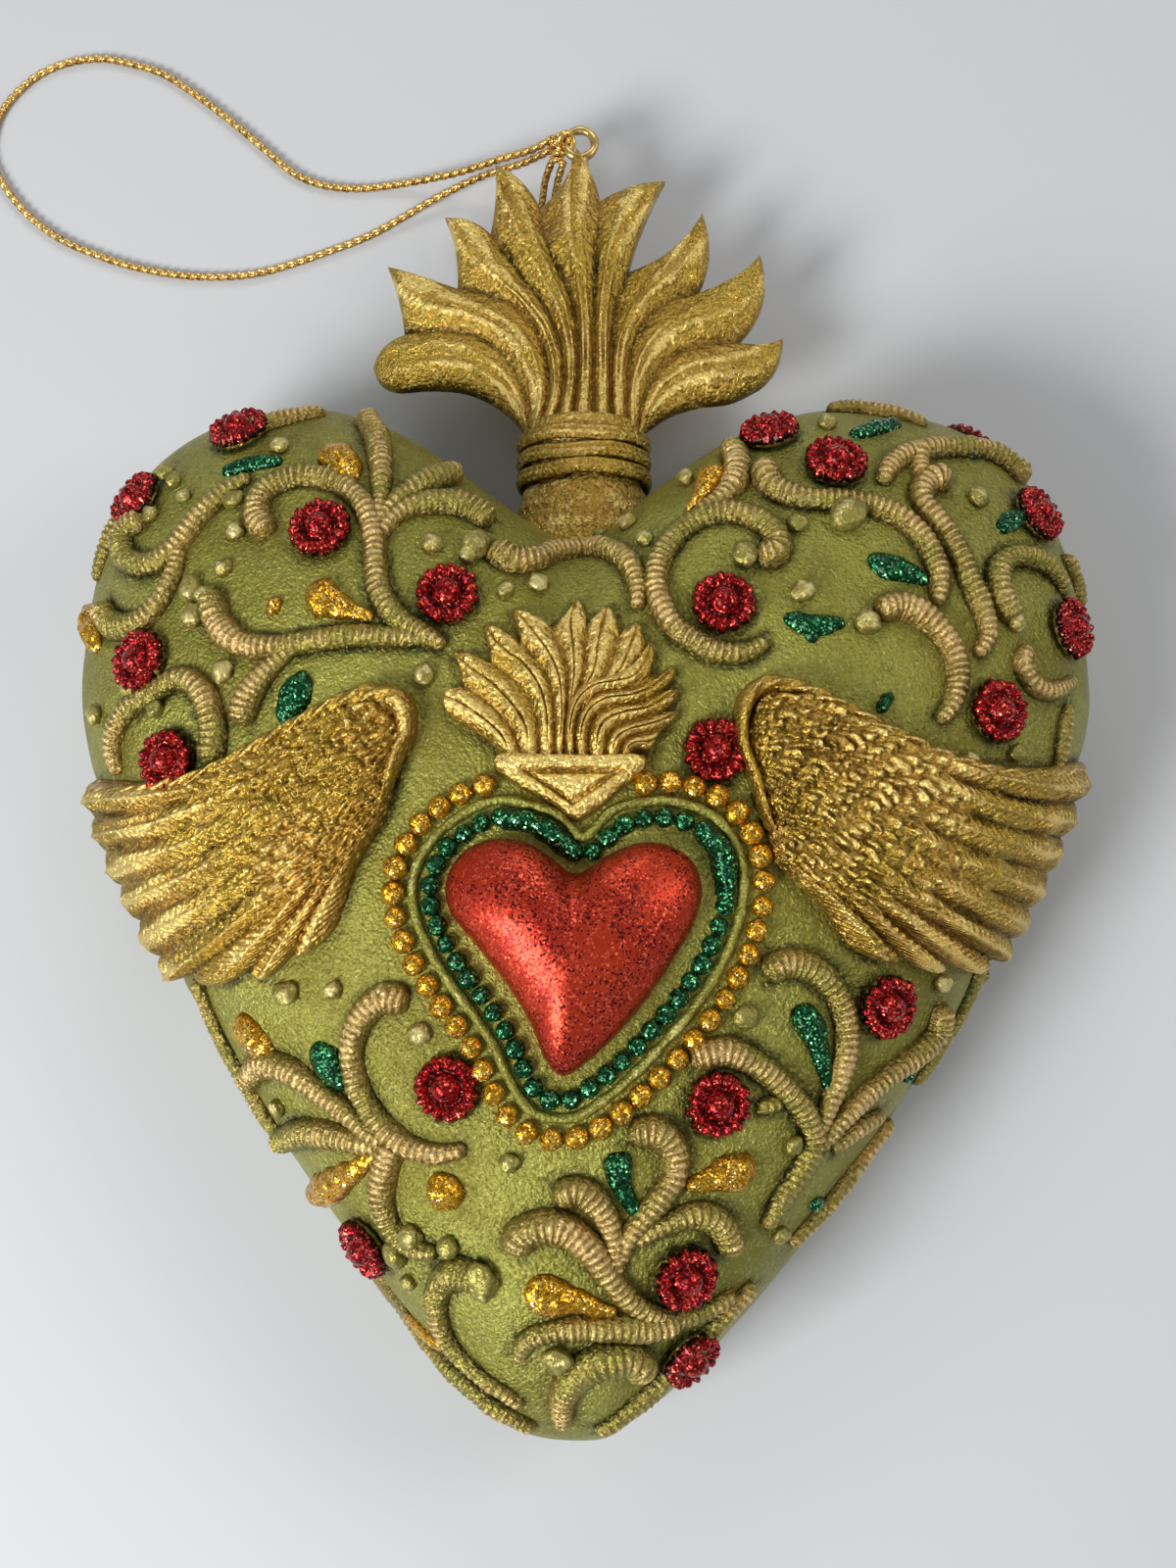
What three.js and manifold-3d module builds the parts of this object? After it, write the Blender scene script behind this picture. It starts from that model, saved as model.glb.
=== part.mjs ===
// A hanging sacred heart ornament: a puffed hollow heart with a flame crown, two wings, a small red
// heart in bead rows, ribbed scroll vines, studs and leaves, and a metallic cord knotted to a wire eye.
// Millimetres. It lies on its back: +Z comes out of the front and +Y runs towards the crown.
import * as THREE from 'three';
import { mergeVertices } from 'three/addons/utils/BufferGeometryUtils.js';
import Module from 'manifold-3d';

const wasm = await Module();
wasm.setup();

// The gap that a piece keeps to what it rests on or is let into
const CLEARANCE = 0.3;

// The heart's outline: each half runs cleft, lobe top, widest point, flank, tip
const CENTRE_Y = -4;
const CLEFT_Y = 27;
const LOBE_TOP_Y = 45.5;
const TIP_Y = -71.5;
const RIGHT_HALF_WIDTH = 58;
const LEFT_HALF_WIDTH = 58.5;
const RIGHT_HALF = {
  half: RIGHT_HALF_WIDTH, widestY: 10.5, lobeX: 30, cleftPull: [5, 5], lobePull: [14, 0.5],
  shoulder: [20, 24], flank: 15, waist: [22, 12.5], tip: [4, 1.5],
};
const LEFT_HALF = {
  half: LEFT_HALF_WIDTH, widestY: 12, lobeX: 31.5, cleftPull: [9, 2], lobePull: [13.5, 2],
  shoulder: [19.5, 22.5], flank: 24, waist: [21, 14.5], tip: [10.5, 2.5],
};

// The puffed body: depth at its middle, height of its widest edge, how round it is, and its wall
const DEPTH = 36;
const EDGE_Z = 11;
const TUCK = 4;
const ROUND_OUT = 2.6;
const ROUND_IN = 2.3;
const SOFTEN = 0.55;
const WALL = 3;
const FOOT_RIM = 1.5;
const LEDGE = 1.5;
const PLATE_THICKNESS = 2;

// The crown: its neck's oval core, the bands round it and the height of its axis
const NECK_HALF_WIDTH = 7;
const NECK_HALF_DEPTH = 5.4;
const NECK_X = -0.5;
const CROWN_Z = 13;
const FLAME_TIP_Z = 11.5;
const BAND_COUNT = 3;
const BAND_BOTTOM_Y = 36.2;
const BAND_HEIGHT = 1.9;
const BAND_THICKNESS = 0.7;

// The wire eye and the cord
const EYE_X = -1;
const EYE_Y = 83.5;
const EYE_Z = 9.5;
const EYE_RADIUS = 1.85;
const WIRE_RADIUS = 0.55;
const LEG_LENGTH = 8;
const KNOT_RADIUS = 1.6;
const KNOT_TURN = THREE.MathUtils.degToRad(173);
const CORD_DIAMETER = 1;

// Applied work: vines, studs, bead rows, the small heart
const VINE_WIDTH = 2.4;
const VINE_RISE = 0.55;
const FEATHER_RISE = [3.6, 1.2];
const VALLEY_SHARE = 0.45;
const FEATHER_VALLEY = 0.93;
const FLAME_VALLEY = 0.8;
const CLOSER_AT_TIPS = 1.3;
const FAN_SEAT = 0.4;
const LEAF_RISE = 0.45;
const FLAME_RISE = [3, 1.4];
const STUD_RADIUS = 3.5;
const STUD_HEIGHT = 1.8;
const SMALL_HEART_RISE = 6;
const COLLAR_RISE = 2.2;
const GREEN_BEAD_RADIUS = 1.05;
const AMBER_BEAD_RADIUS = 1.25;
const RIM_WIDTH = 0.9;
const RIM_RISE = 1.2;
const BEAD_PITCH = 2.35;

const finish = (color, roughness, metalness) => (
  new THREE.MeshStandardMaterial({ color, roughness, metalness })
);
const BODY_GOLD = () => finish(0x8f8a3c, 0.45, 0.6);
const ANTIQUE_GOLD = () => finish(0xa8823a, 0.4, 0.75);
const PALE_GOLD = () => finish(0xa39a5a, 0.45, 0.65);
const RUBY = () => finish(0xa01420, 0.25, 0.2);
const SATIN_RED = () => finish(0xb5301c, 0.35, 0.15);
const EMERALD = () => finish(0x0c6a4a, 0.3, 0.3);
const AMBER = () => finish(0xd0780c, 0.3, 0.3);
const BRASS_WIRE = () => finish(0xc7a04a, 0.3, 0.9);

const ornament = new THREE.Group();
const pieces = new THREE.Group();
ornament.add(pieces);

function addPiece(name, geometry, material, place = {}) {
  const mesh = new THREE.Mesh(geometry, material);
  mesh.name = name;
  if (place.position) mesh.position.copy(place.position);
  if (place.quaternion) mesh.quaternion.copy(place.quaternion);
  pieces.add(mesh);
  return mesh;
}

// Joins and cuts
function toSolid(geometry, matrix) {
  const bare = new THREE.BufferGeometry();
  bare.setAttribute('position', geometry.getAttribute('position').clone());
  if (geometry.index) bare.setIndex(geometry.index.clone());
  if (matrix) bare.applyMatrix4(matrix);
  const merged = mergeVertices(bare, 1e-4);
  return new wasm.Manifold(new wasm.Mesh({
    numProp: 3,
    vertProperties: new Float32Array(merged.getAttribute('position').array),
    triVerts: new Uint32Array(merged.index.array),
  }));
}

function toGeometry(solid) {
  const mesh = solid.getMesh();
  const geometry = new THREE.BufferGeometry();
  const corners = new Float32Array(mesh.vertProperties);
  geometry.setAttribute('position', new THREE.BufferAttribute(corners, 3));
  geometry.setIndex(Array.from(mesh.triVerts));
  geometry.computeVertexNormals();
  return geometry;
}

const join = (geometries) => geometries.map((g) => toSolid(g)).reduce((whole, part) => whole.add(part));
const cut = (solid, cutters) => cutters.reduce((left, cutter) => left.subtract(cutter), solid);

// A closed body through rings of equal count. An end ring of one point is a pole, and any other end is
// capped from side to side, unless the body closes on itself.
function loft(rings, closed = false) {
  const positions = [];
  const faces = [];
  const start = rings.map((ring) => {
    const first = positions.length / 3;
    ring.forEach((p) => positions.push(p.x, p.y, p.z));
    return first;
  });
  const around = Math.max(...rings.map((ring) => ring.length));
  const fan = (pole, first, flip) => {
    for (let i = 0; i < around; i += 1) {
      const a = first + i;
      const b = first + ((i + 1) % around);
      faces.push(pole, ...(flip ? [b, a] : [a, b]));
    }
  };
  const last = rings.length - 1;
  for (let r = 0; r < (closed ? rings.length : last); r += 1) {
    const next = (r + 1) % rings.length;
    if (rings[r].length === 1) fan(start[r], start[next], false);
    else if (rings[next].length === 1) fan(start[next], start[r], true);
    else {
      for (let i = 0; i < around; i += 1) {
        const j = (i + 1) % around;
        const [a, b, c, d] = [start[r] + i, start[r] + j, start[next] + j, start[next] + i];
        faces.push(a, d, b, b, d, c);
      }
    }
  }
  const cap = (first, flip) => {
    let [low, high] = [0, around - 1];
    while (high - low > 1) {
      const corner = (low + high) % 2 === (around - 1) % 2 ? low + 1 : high - 1;
      const corners = [first + low, first + corner, first + high];
      faces.push(...(flip ? corners.reverse() : corners));
      if (corner === low + 1) low = corner;
      else high = corner;
    }
  };
  if (!closed && rings[0].length > 1) cap(start[0], false);
  if (!closed && rings[last].length > 1) cap(start[last], true);
  const geometry = new THREE.BufferGeometry();
  geometry.setAttribute('position', new THREE.Float32BufferAttribute(positions, 3));
  geometry.setIndex(signedVolume(positions, faces) < 0 ? faces.slice().reverse() : faces);
  geometry.computeVertexNormals();
  return geometry;
}

function signedVolume(positions, faces) {
  const at = (i) => new THREE.Vector3().fromArray(positions, 3 * i);
  let volume = 0;
  for (let i = 0; i < faces.length; i += 3) {
    volume += at(faces[i]).dot(at(faces[i + 1]).cross(at(faces[i + 2])));
  }
  return volume;
}

// The outline in polar form about the heart's centre
const OUTLINE_STEPS = 40;
const TABLE_SIZE = 720;

function halfOutline(side) {
  const at = (x, y) => new THREE.Vector2(x, y);
  const lobe = at(side.lobeX, LOBE_TOP_Y);
  const widest = at(side.half, side.widestY);
  const corner = at(side.tip[0], TIP_Y + side.tip[1]);
  return [
    [at(0, CLEFT_Y), at(side.cleftPull[0], CLEFT_Y + side.cleftPull[1]),
      at(side.lobeX - side.lobePull[0], LOBE_TOP_Y - side.lobePull[1]), lobe],
    [lobe, at(side.lobeX + side.shoulder[0], LOBE_TOP_Y),
      at(side.half, side.widestY + side.shoulder[1]), widest],
    [widest, at(side.half, side.widestY - side.flank),
      at(side.waist[0], TIP_Y + side.waist[1]), corner],
    [corner, at(side.tip[0] * 0.6, TIP_Y), at(side.tip[0] * 0.25, TIP_Y), at(0, TIP_Y)],
  ].flatMap((points) => new THREE.CubicBezierCurve(...points).getPoints(OUTLINE_STEPS));
}

function polarTable(side) {
  return halfOutline(side).map((p) => ({
    turn: Math.atan2(p.y - CENTRE_Y, p.x), radius: Math.hypot(p.x, p.y - CENTRE_Y),
  }));
}

function lookUp(table, turn) {
  const after = table.findIndex((entry) => entry.turn <= turn);
  if (after === 0) return table[0].radius;
  if (after < 0) return table[table.length - 1].radius;
  const [a, b] = [table[after - 1], table[after]];
  return THREE.MathUtils.mapLinear(turn, a.turn, b.turn, a.radius, b.radius);
}

const rightTable = polarTable(RIGHT_HALF);
const leftTable = polarTable(LEFT_HALF);
const edgeTable = Array.from({ length: TABLE_SIZE }, (_, i) => {
  const turn = (i / TABLE_SIZE) * 2 * Math.PI;
  const [x, y] = [Math.cos(turn), Math.sin(turn)];
  return lookUp(x < 0 ? leftTable : rightTable, Math.atan2(y, Math.abs(x)));
});

function fromTable(table, turn) {
  const at = (((turn / (2 * Math.PI)) % 1) + 1) % 1 * TABLE_SIZE;
  const low = Math.floor(at);
  return THREE.MathUtils.lerp(table[low % TABLE_SIZE], table[(low + 1) % TABLE_SIZE], at - low);
}

// The edge blended over a wide angle, which the puffed middle follows
const SOFT_SAMPLES = 15;
const softTable = edgeTable.map((_, i) => {
  const turn = (i / TABLE_SIZE) * 2 * Math.PI;
  let [sum, weights] = [0, 0];
  for (let k = 0; k < SOFT_SAMPLES; k += 1) {
    const share = (2 * k) / (SOFT_SAMPLES - 1) - 1;
    const weight = Math.cos((share * Math.PI) / 2) ** 2;
    sum += weight * fromTable(edgeTable, turn + SOFTEN * share);
    weights += weight;
  }
  return sum / weights;
});

const edgeRadius = (turn) => fromTable(edgeTable, turn);
const bodyRadius = (turn, share) => (
  THREE.MathUtils.lerp(fromTable(softTable, turn), edgeRadius(turn), share ** 3)
);

// The casting's outer skin over a disc: its middle at the disc's centre, its widest edge at radius 1,
// and its foot at radius 2
function skin(u, v) {
  const turn = Math.atan2(v, u);
  const rise = Math.hypot(u, v);
  let radius;
  let z;
  if (rise <= 1) {
    const angle = (rise * Math.PI) / 2;
    const share = Math.sin(angle) ** (2 / ROUND_OUT);
    radius = share * bodyRadius(turn, share);
    z = EDGE_Z + (DEPTH - EDGE_Z) * Math.max(0, Math.cos(angle)) ** (2 / ROUND_IN);
  } else {
    const drop = Math.min(rise, 2) - 1;
    radius = edgeRadius(turn) - TUCK * drop ** 2;
    z = EDGE_Z * (1 - drop);
  }
  return new THREE.Vector3(radius * Math.cos(turn), CENTRE_Y + radius * Math.sin(turn), z);
}

// Layouts were drawn on a heart of these sizes, and they stretch with the outline
const DRAWN = { half: 58, top: 45.5, tip: -71.5 };

// The spot of the skin under a layout point. A point past the edge goes down the side.
function spotAt(x, y) {
  const px = x * ((x < 0 ? LEFT_HALF_WIDTH : RIGHT_HALF_WIDTH) / DRAWN.half);
  const py = y * (y < 0 ? TIP_Y / DRAWN.tip : LOBE_TOP_Y / DRAWN.top);
  const turn = Math.atan2(py - CENTRE_Y, px);
  const reach = Math.hypot(px, py - CENTRE_Y);
  const edge = edgeRadius(turn);
  let rise = 1 + (reach - edge) / EDGE_Z;
  if (reach < edge) {
    let [low, high] = [0, 1];
    for (let i = 0; i < 26; i += 1) {
      const share = (low + high) / 2;
      if (share * bodyRadius(turn, share) > reach) high = share;
      else low = share;
    }
    rise = (Math.asin(low ** (ROUND_OUT / 2)) * 2) / Math.PI;
  }
  return { u: rise * Math.cos(turn), v: rise * Math.sin(turn) };
}

function frameAt(spot) {
  const e = 0.002;
  const { u, v } = spot;
  const du = skin(u + e, v).sub(skin(u - e, v)).divideScalar(2 * e);
  const dv = skin(u, v + e).sub(skin(u, v - e)).divideScalar(2 * e);
  return { spot, du, dv, point: skin(u, v), normal: du.clone().cross(dv).normalize() };
}

// The skin's point beside a frame, a short vector away
function beside({ spot, du, dv }, vector) {
  const [a, b, c] = [du.dot(du), du.dot(dv), dv.dot(dv)];
  const [p, q] = [du.dot(vector), dv.dot(vector)];
  const scale = 1 / (a * c - b * b);
  return skin(spot.u + (c * p - b * q) * scale, spot.v + (a * q - b * p) * scale);
}

// A curve along layout points, in the disc's own terms, so that its points stay even round the edge
const WIDTH_SCALE = 1 / DRAWN.half;

function discCurve(points, closed = false) {
  const stops = points.map(([x, y, width = 0]) => {
    const { u, v } = spotAt(x, y);
    return new THREE.Vector3(u, v, width * WIDTH_SCALE);
  });
  return new THREE.CatmullRomCurve3(stops, closed, 'centripetal');
}

const frameOn = (point) => frameAt({ u: point.x, v: point.y });

// A strip that lies on the skin along layout points [x, y, width], arched over a flat underside.
// With grow it is the larger shape that cuts a neighbour clear of it.
const STRIP_SIDES = 3;

function strip(path, steps, rise, { grow = 0, closed = false } = {}) {
  const stops = discCurve(path, closed).getSpacedPoints(steps);
  if (closed) stops.pop();
  const frames = stops.map(frameOn);
  const wrap = (i) => (i + frames.length) % frames.length;
  const pick = (i) => frames[closed ? wrap(i) : THREE.MathUtils.clamp(i, 0, steps)];
  const rings = frames.map((frame, i) => {
    const along = pick(i + 1).point.clone().sub(pick(i - 1).point).normalize();
    const side = frame.normal.clone().cross(along).normalize();
    const width = stops[i].z / WIDTH_SCALE;
    const arch = Array.from({ length: STRIP_SIDES + 1 }, (_, k) => {
      const angle = (Math.PI * k) / STRIP_SIDES;
      const lift = CLEARANCE - grow + (rise * width + 2 * grow) * Math.sin(angle);
      const across = side.clone().multiplyScalar((width / 2 + grow) * Math.cos(angle));
      return beside(frame, across).addScaledVector(frame.normal, lift);
    });
    return arch;
  });
  return loft(rings, closed);
}

// A fan on the skin: a ridge along each path, and valleys between them that stop short of the tips
function fan(paths, steps, [startRise, endRise], valleyReach, grow = 0) {
  const curves = paths.map((path) => discCurve(path));
  const low = FAN_SEAT - grow;
  const raised = (point, normal, lift) => point.clone().addScaledVector(normal, lift);
  const rings = Array.from({ length: steps + 1 }, (_, i) => {
    const t = 1 - (1 - i / steps) ** CLOSER_AT_TIPS;
    const short = t * valleyReach;
    const middles = curves.slice(1).map((curve, k) => (
      curve.getPointAt(short).lerp(curves[k].getPointAt(short), 0.5)
    ));
    const ends = [[curves[0], middles[0]], [curves[curves.length - 1], middles[middles.length - 1]]]
      .map(([curve, valley]) => curve.getPointAt(short).multiplyScalar(2).sub(valley));
    const valleys = [ends[0], ...middles, ends[1]];
    const spots = valleys.flatMap((valley, k) => (
      k < curves.length ? [valley, curves[k].getPointAt(t)] : [valley]
    ));
    const height = THREE.MathUtils.lerp(startRise, endRise, t);
    const frames = spots.map(frameOn);
    const centre = frames[(frames.length - 1) / 2].point;
    const outward = [0, frames.length - 1].map((k) => frames[k].point.clone().sub(centre).setLength(grow));
    const points = frames.map((frame, k) => {
      if (k === 0) return beside(frame, outward[0]);
      return k === frames.length - 1 ? beside(frame, outward[1]) : frame.point;
    });
    const top = points.map((point, k) => {
      const lift = height * (k % 2 ? 1 : VALLEY_SHARE);
      return raised(point, frames[k].normal, low + 2 * grow + lift);
    });
    const bottom = points.map((point, k) => raised(point, frames[k].normal, low));
    return [...top, ...bottom.reverse()];
  });
  return loft(rings);
}

// A pad that lies on the skin inside a layout outline and swells to its rise in the middle
function pad(outline, middle, count, rise, power, grow = 0) {
  const stops = outline.map(([x, y]) => new THREE.Vector3(x, y, 0));
  const curve = new THREE.CatmullRomCurve3(stops, true, 'centripetal');
  const edge = curve.getSpacedPoints(count).slice(0, count);
  const ring = (share, lift) => edge.map((p) => {
    const x = middle[0] + (p.x - middle[0]) * share;
    const y = middle[1] + (p.y - middle[1]) * share;
    const frame = frameAt(spotAt(x, y));
    return frame.point.clone().addScaledVector(frame.normal, lift);
  });
  const full = 1 + grow / edge[0].distanceTo(new THREE.Vector3(...middle, 0));
  const low = CLEARANCE - grow;
  const lift = (share) => low + grow + rise * (1 - share ** power) ** (1 / power);
  const tops = [0.97, 0.85, 0.62, 0.33];
  const pole = frameAt(spotAt(...middle));
  const raised = (height) => [pole.point.clone().addScaledVector(pole.normal, height)];
  return loft([
    raised(low), ring(0.5, low), ring(full, low),
    ...tops.map((share) => ring(share * full, lift(share))), raised(lift(0)),
  ]);
}

// The hollow casting, open at the back with a ledge for the plate
const AROUND = 56;
const turns = Array.from({ length: AROUND }, (_, i) => (i / AROUND) * 2 * Math.PI);
const flatRing = (inset, z) => turns.map((turn) => {
  const radius = edgeRadius(turn) - inset;
  return new THREE.Vector3(radius * Math.cos(turn), CENTRE_Y + radius * Math.sin(turn), z);
});
const RECESS = TUCK + FOOT_RIM;

function heartShell() {
  const domeSteps = 10;
  const sideSteps = 2;
  const skinRing = (rise) => turns.map((turn) => skin(rise * Math.cos(turn), rise * Math.sin(turn)));
  const innerSteps = 4;
  const innerRing = (rise) => turns.map((turn) => {
    const p = skin(rise * Math.cos(turn), rise * Math.sin(turn));
    const reach = Math.hypot(p.x, p.y - CENTRE_Y);
    const radius = reach * (1 - WALL / edgeRadius(turn));
    const z = EDGE_Z + ((p.z - EDGE_Z) * (DEPTH - WALL - EDGE_Z)) / (DEPTH - EDGE_Z);
    return new THREE.Vector3(radius * Math.cos(turn), CENTRE_Y + radius * Math.sin(turn), z);
  });
  const ledgeZ = PLATE_THICKNESS + CLEARANCE;
  const outer = Array.from({ length: domeSteps }, (_, i) => skinRing((i + 1) / domeSteps));
  const sides = Array.from({ length: sideSteps }, (_, i) => skinRing(1 + (i + 1) / sideSteps));
  const inner = Array.from({ length: innerSteps }, (_, i) => innerRing(1 - i / innerSteps));
  return loft([
    [skin(0, 0)], ...outer, ...sides, flatRing(RECESS, 0), flatRing(RECESS, ledgeZ),
    flatRing(RECESS + LEDGE, ledgeZ), ...inner, [new THREE.Vector3(0, CENTRE_Y, DEPTH - WALL)],
  ]);
}

function backPlate() {
  const middle = (z) => [new THREE.Vector3(0, CENTRE_Y, z)];
  const inset = RECESS + CLEARANCE;
  return loft([middle(0), flatRing(inset, 0), flatRing(inset, PLATE_THICKNESS), middle(PLATE_THICKNESS)]);
}

// The crown: nine flames [x, y, width] that fan out of an oval neck. They lie in the crown's plane and
// sink a little towards their tips.
const FLAMES = [
  [[-2.5, 45, 6], [-7.5, 48.8, 6.6], [-13, 51.8, 7], [-19.5, 53, 6.6], [-25, 52.3, 4.6]],
  [[-2.5, 43, 7], [-8, 52, 7], [-13, 58, 7], [-18.5, 60.3, 6.8], [-22.3, 62, 5], [-24.3, 64.8, 1.2]],
  [[-2, 45, 6], [-6.5, 56, 6.6], [-11, 63, 7], [-14.2, 67.2, 5.8], [-16.2, 70, 3.4], [-17.5, 71.5, 1]],
  [[-1.5, 47, 5], [-4.5, 60, 6], [-7.5, 67.5, 6.8], [-9.3, 73, 5.6], [-10.6, 77, 3],
    [-11.3, 79, 0.8]],
  [[-0.5, 45, 6], [-0.8, 60, 6.6], [-1.4, 69, 7.2], [-1.9, 74.6, 6.2], [-1.5, 79, 3.4], [-1.2, 81, 1.4]],
  [[0.5, 47, 5], [2, 60, 6], [3.3, 68.3, 6.4], [5.2, 73, 5], [7.7, 75.8, 2.8], [9.3, 77, 0.8]],
  [[1.2, 46, 5.4], [4.5, 57, 6.4], [8.5, 63.2, 6.6], [12.2, 67, 5.4], [13.8, 70.2, 3],
    [13.9, 72.8, 0.8]],
  [[2, 44, 6], [6.5, 53, 6.8], [11.8, 58.2, 7], [17.3, 60, 6], [20.4, 63.2, 3.8], [20.7, 66.6, 1]],
  [[1.5, 45, 6], [6.5, 49, 6.6], [12, 51, 7.2], [18, 51.9, 6], [21.6, 53.4, 3.6], [23.4, 56, 0.8]],
];
const FLAME_STEPS = 5;
const NECK_SECTIONS = [
  [24, 5.9, 1.5], [28, 1.8, 1.2], [33, 0.8, 0.6], [35.5, 0.3, 0.2], [35.9, 0, 0], [43, 0, 0],
  [43.6, 0.4, 0], [50, -1.4, -3],
];

function flame(path) {
  const marks = path.map((p) => new THREE.Vector3(...p));
  const curve = new THREE.CatmullRomCurve3(marks, false, 'centripetal');
  const stops = curve.getPoints(FLAME_STEPS);
  const rings = stops.map((stop, i) => {
    const along = curve.getTangent(i / FLAME_STEPS);
    const side = new THREE.Vector2(-along.y, along.x).normalize();
    const z = THREE.MathUtils.lerp(CROWN_Z, FLAME_TIP_Z, i / FLAME_STEPS);
    const half = stop.z / 2;
    const depth = Math.min(0.42 * stop.z + 0.4, NECK_HALF_DEPTH - 2);
    return Array.from({ length: 6 }, (_, k) => {
      const angle = (Math.PI * k) / 3;
      const spot = new THREE.Vector2(stop.x, stop.y).addScaledVector(side, half * Math.cos(angle));
      return new THREE.Vector3(spot.x, spot.y, z + depth * Math.sin(angle));
    });
  });
  return loft(rings);
}

function oval(y, halfWidth, halfDepth, count = 14) {
  return Array.from({ length: count }, (_, k) => {
    const angle = (2 * Math.PI * k) / count;
    const x = NECK_X + halfWidth * Math.cos(angle);
    return new THREE.Vector3(x, y, CROWN_Z + halfDepth * Math.sin(angle));
  });
}

const neckRings = (grow) => NECK_SECTIONS.map(([y, wider, deeper]) => (
  oval(y, NECK_HALF_WIDTH + wider + grow, NECK_HALF_DEPTH + deeper + grow)
));

function legPlaces() {
  return [-WIRE_RADIUS, WIRE_RADIUS].map((x) => EYE_X + x);
}

function leg(x, radius, bottom, top) {
  const rod = new THREE.CylinderGeometry(radius, radius, top - bottom, 6);
  rod.translate(x, (bottom + top) / 2, EYE_Z);
  return rod;
}

const LEG_TOP = EYE_Y - EYE_RADIUS;
const LEG_BOTTOM = LEG_TOP - LEG_LENGTH;

function flameCrown() {
  const body = join([...FLAMES.map(flame), loft(neckRings(0))]);
  const slot = new THREE.BoxGeometry(
    4 * WIRE_RADIUS + 2 * CLEARANCE, LEG_LENGTH + 2 * EYE_RADIUS, EYE_Z + WIRE_RADIUS + CLEARANCE,
  );
  const slotMiddle = LEG_BOTTOM - CLEARANCE + (LEG_LENGTH + 2 * EYE_RADIUS) / 2;
  slot.translate(EYE_X, slotMiddle, (EYE_Z + WIRE_RADIUS + CLEARANCE) / 2);
  return cut(body, [toSolid(slot)]);
}

function hangingEye() {
  const ring = new THREE.TorusGeometry(EYE_RADIUS, WIRE_RADIUS, 6, 16);
  ring.translate(EYE_X, EYE_Y, EYE_Z);
  return join([ring, ...legPlaces().map((x) => leg(x, WIRE_RADIUS, LEG_BOTTOM, LEG_TOP))]);
}

// Raised bands round the neck
function neckBand(index) {
  const bottom = BAND_BOTTOM_Y + index * (BAND_HEIGHT + CLEARANCE);
  const inner = CLEARANCE;
  const outer = CLEARANCE + BAND_THICKNESS;
  const slope = BAND_HEIGHT / 4;
  const at = (out, y) => oval(y, NECK_HALF_WIDTH + out, NECK_HALF_DEPTH + out);
  return loft([
    at(inner, bottom), at(inner, bottom + BAND_HEIGHT),
    at(outer, bottom + BAND_HEIGHT - slope), at(outer, bottom + slope),
  ], true);
}

// The cord: its knot slides round the eye, and its loop and tails leave the knot
function cordKnot() {
  const ball = new THREE.SphereGeometry(KNOT_RADIUS, 8, 6);
  const [across, up] = [EYE_RADIUS * Math.cos(KNOT_TURN), EYE_RADIUS * Math.sin(KNOT_TURN)];
  ball.translate(EYE_X + across, EYE_Y + up, EYE_Z);
  const tunnel = new THREE.TorusGeometry(EYE_RADIUS, WIRE_RADIUS + CLEARANCE, 6, 16);
  tunnel.translate(EYE_X, EYE_Y, EYE_Z);
  return cut(toSolid(ball), [toSolid(tunnel)]);
}

const CORD_LOOP = [
  [-4.6, 84.1, 9.6], [-7, 83.5, 8.2], [-11, 83.6, 5.8], [-16, 83.2, 3.4], [-21, 83, 1.6],
  [-26, 82.6, 0.7],
  [-30, 82.3, 0.55], [-34.5, 82.8, 0.55], [-38, 84.3, 0.55], [-41.2, 87, 0.55], [-44.5, 90, 0.55],
  [-48, 93, 0.55],
  [-51.8, 96, 0.55], [-56, 98.8, 0.55], [-60, 100.2, 0.55], [-64, 101, 0.55], [-68.2, 100.5, 0.55],
  [-72, 98.8, 0.55],
  [-75, 96, 0.55], [-77, 92.8, 0.55], [-77.8, 89.5, 0.55], [-77.7, 86.5, 0.55], [-76.3, 83.5, 0.55],
  [-74.2, 80.5, 0.55],
  [-71.3, 77.5, 0.55], [-67.8, 75, 0.55], [-63.5, 73, 0.55], [-58.5, 71.3, 0.55], [-53, 70.2, 0.55],
  [-47.5, 69.9, 0.55],
  [-42.5, 70.4, 0.55], [-37.8, 71.8, 0.55], [-32.8, 73.7, 0.55], [-28.3, 75.6, 0.6], [-24, 78, 0.9],
  [-20, 80.2, 1.5],
  [-16, 81.9, 2.4], [-12.5, 82.7, 3.8], [-8.5, 82.8, 5.9], [-4.6, 83.2, 8.6],
];
const CORD_TAILS = {
  cord_tail_left: [
    [-4.2, 82.4, 8.6], [-5.3, 80.5, 6.6], [-5.8, 78.3, 4.8], [-6.2, 76, 2.8], [-6.4, 73.5, 1.1],
    [-6.3, 71, 0.6],
  ],
  cord_tail_right: [
    [-3, 81.8, 8.6], [-3.8, 80, 6.6], [-4.3, 78, 4.8], [-4.7, 75.7, 2.8], [-4.9, 73, 1.1],
    [-4.7, 70.3, 0.6],
  ],
};

function cordTube(points, steps) {
  const section = new THREE.Shape();
  section.absarc(0, 0, CORD_DIAMETER / 2, 0, 2 * Math.PI, false);
  const marks = points.map((p) => new THREE.Vector3(...p));
  const route = new THREE.CatmullRomCurve3(marks, false, 'centripetal');
  const sweep = { steps, curveSegments: 4, bevelEnabled: false, extrudePath: route };
  return new THREE.ExtrudeGeometry(section, sweep);
}

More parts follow.
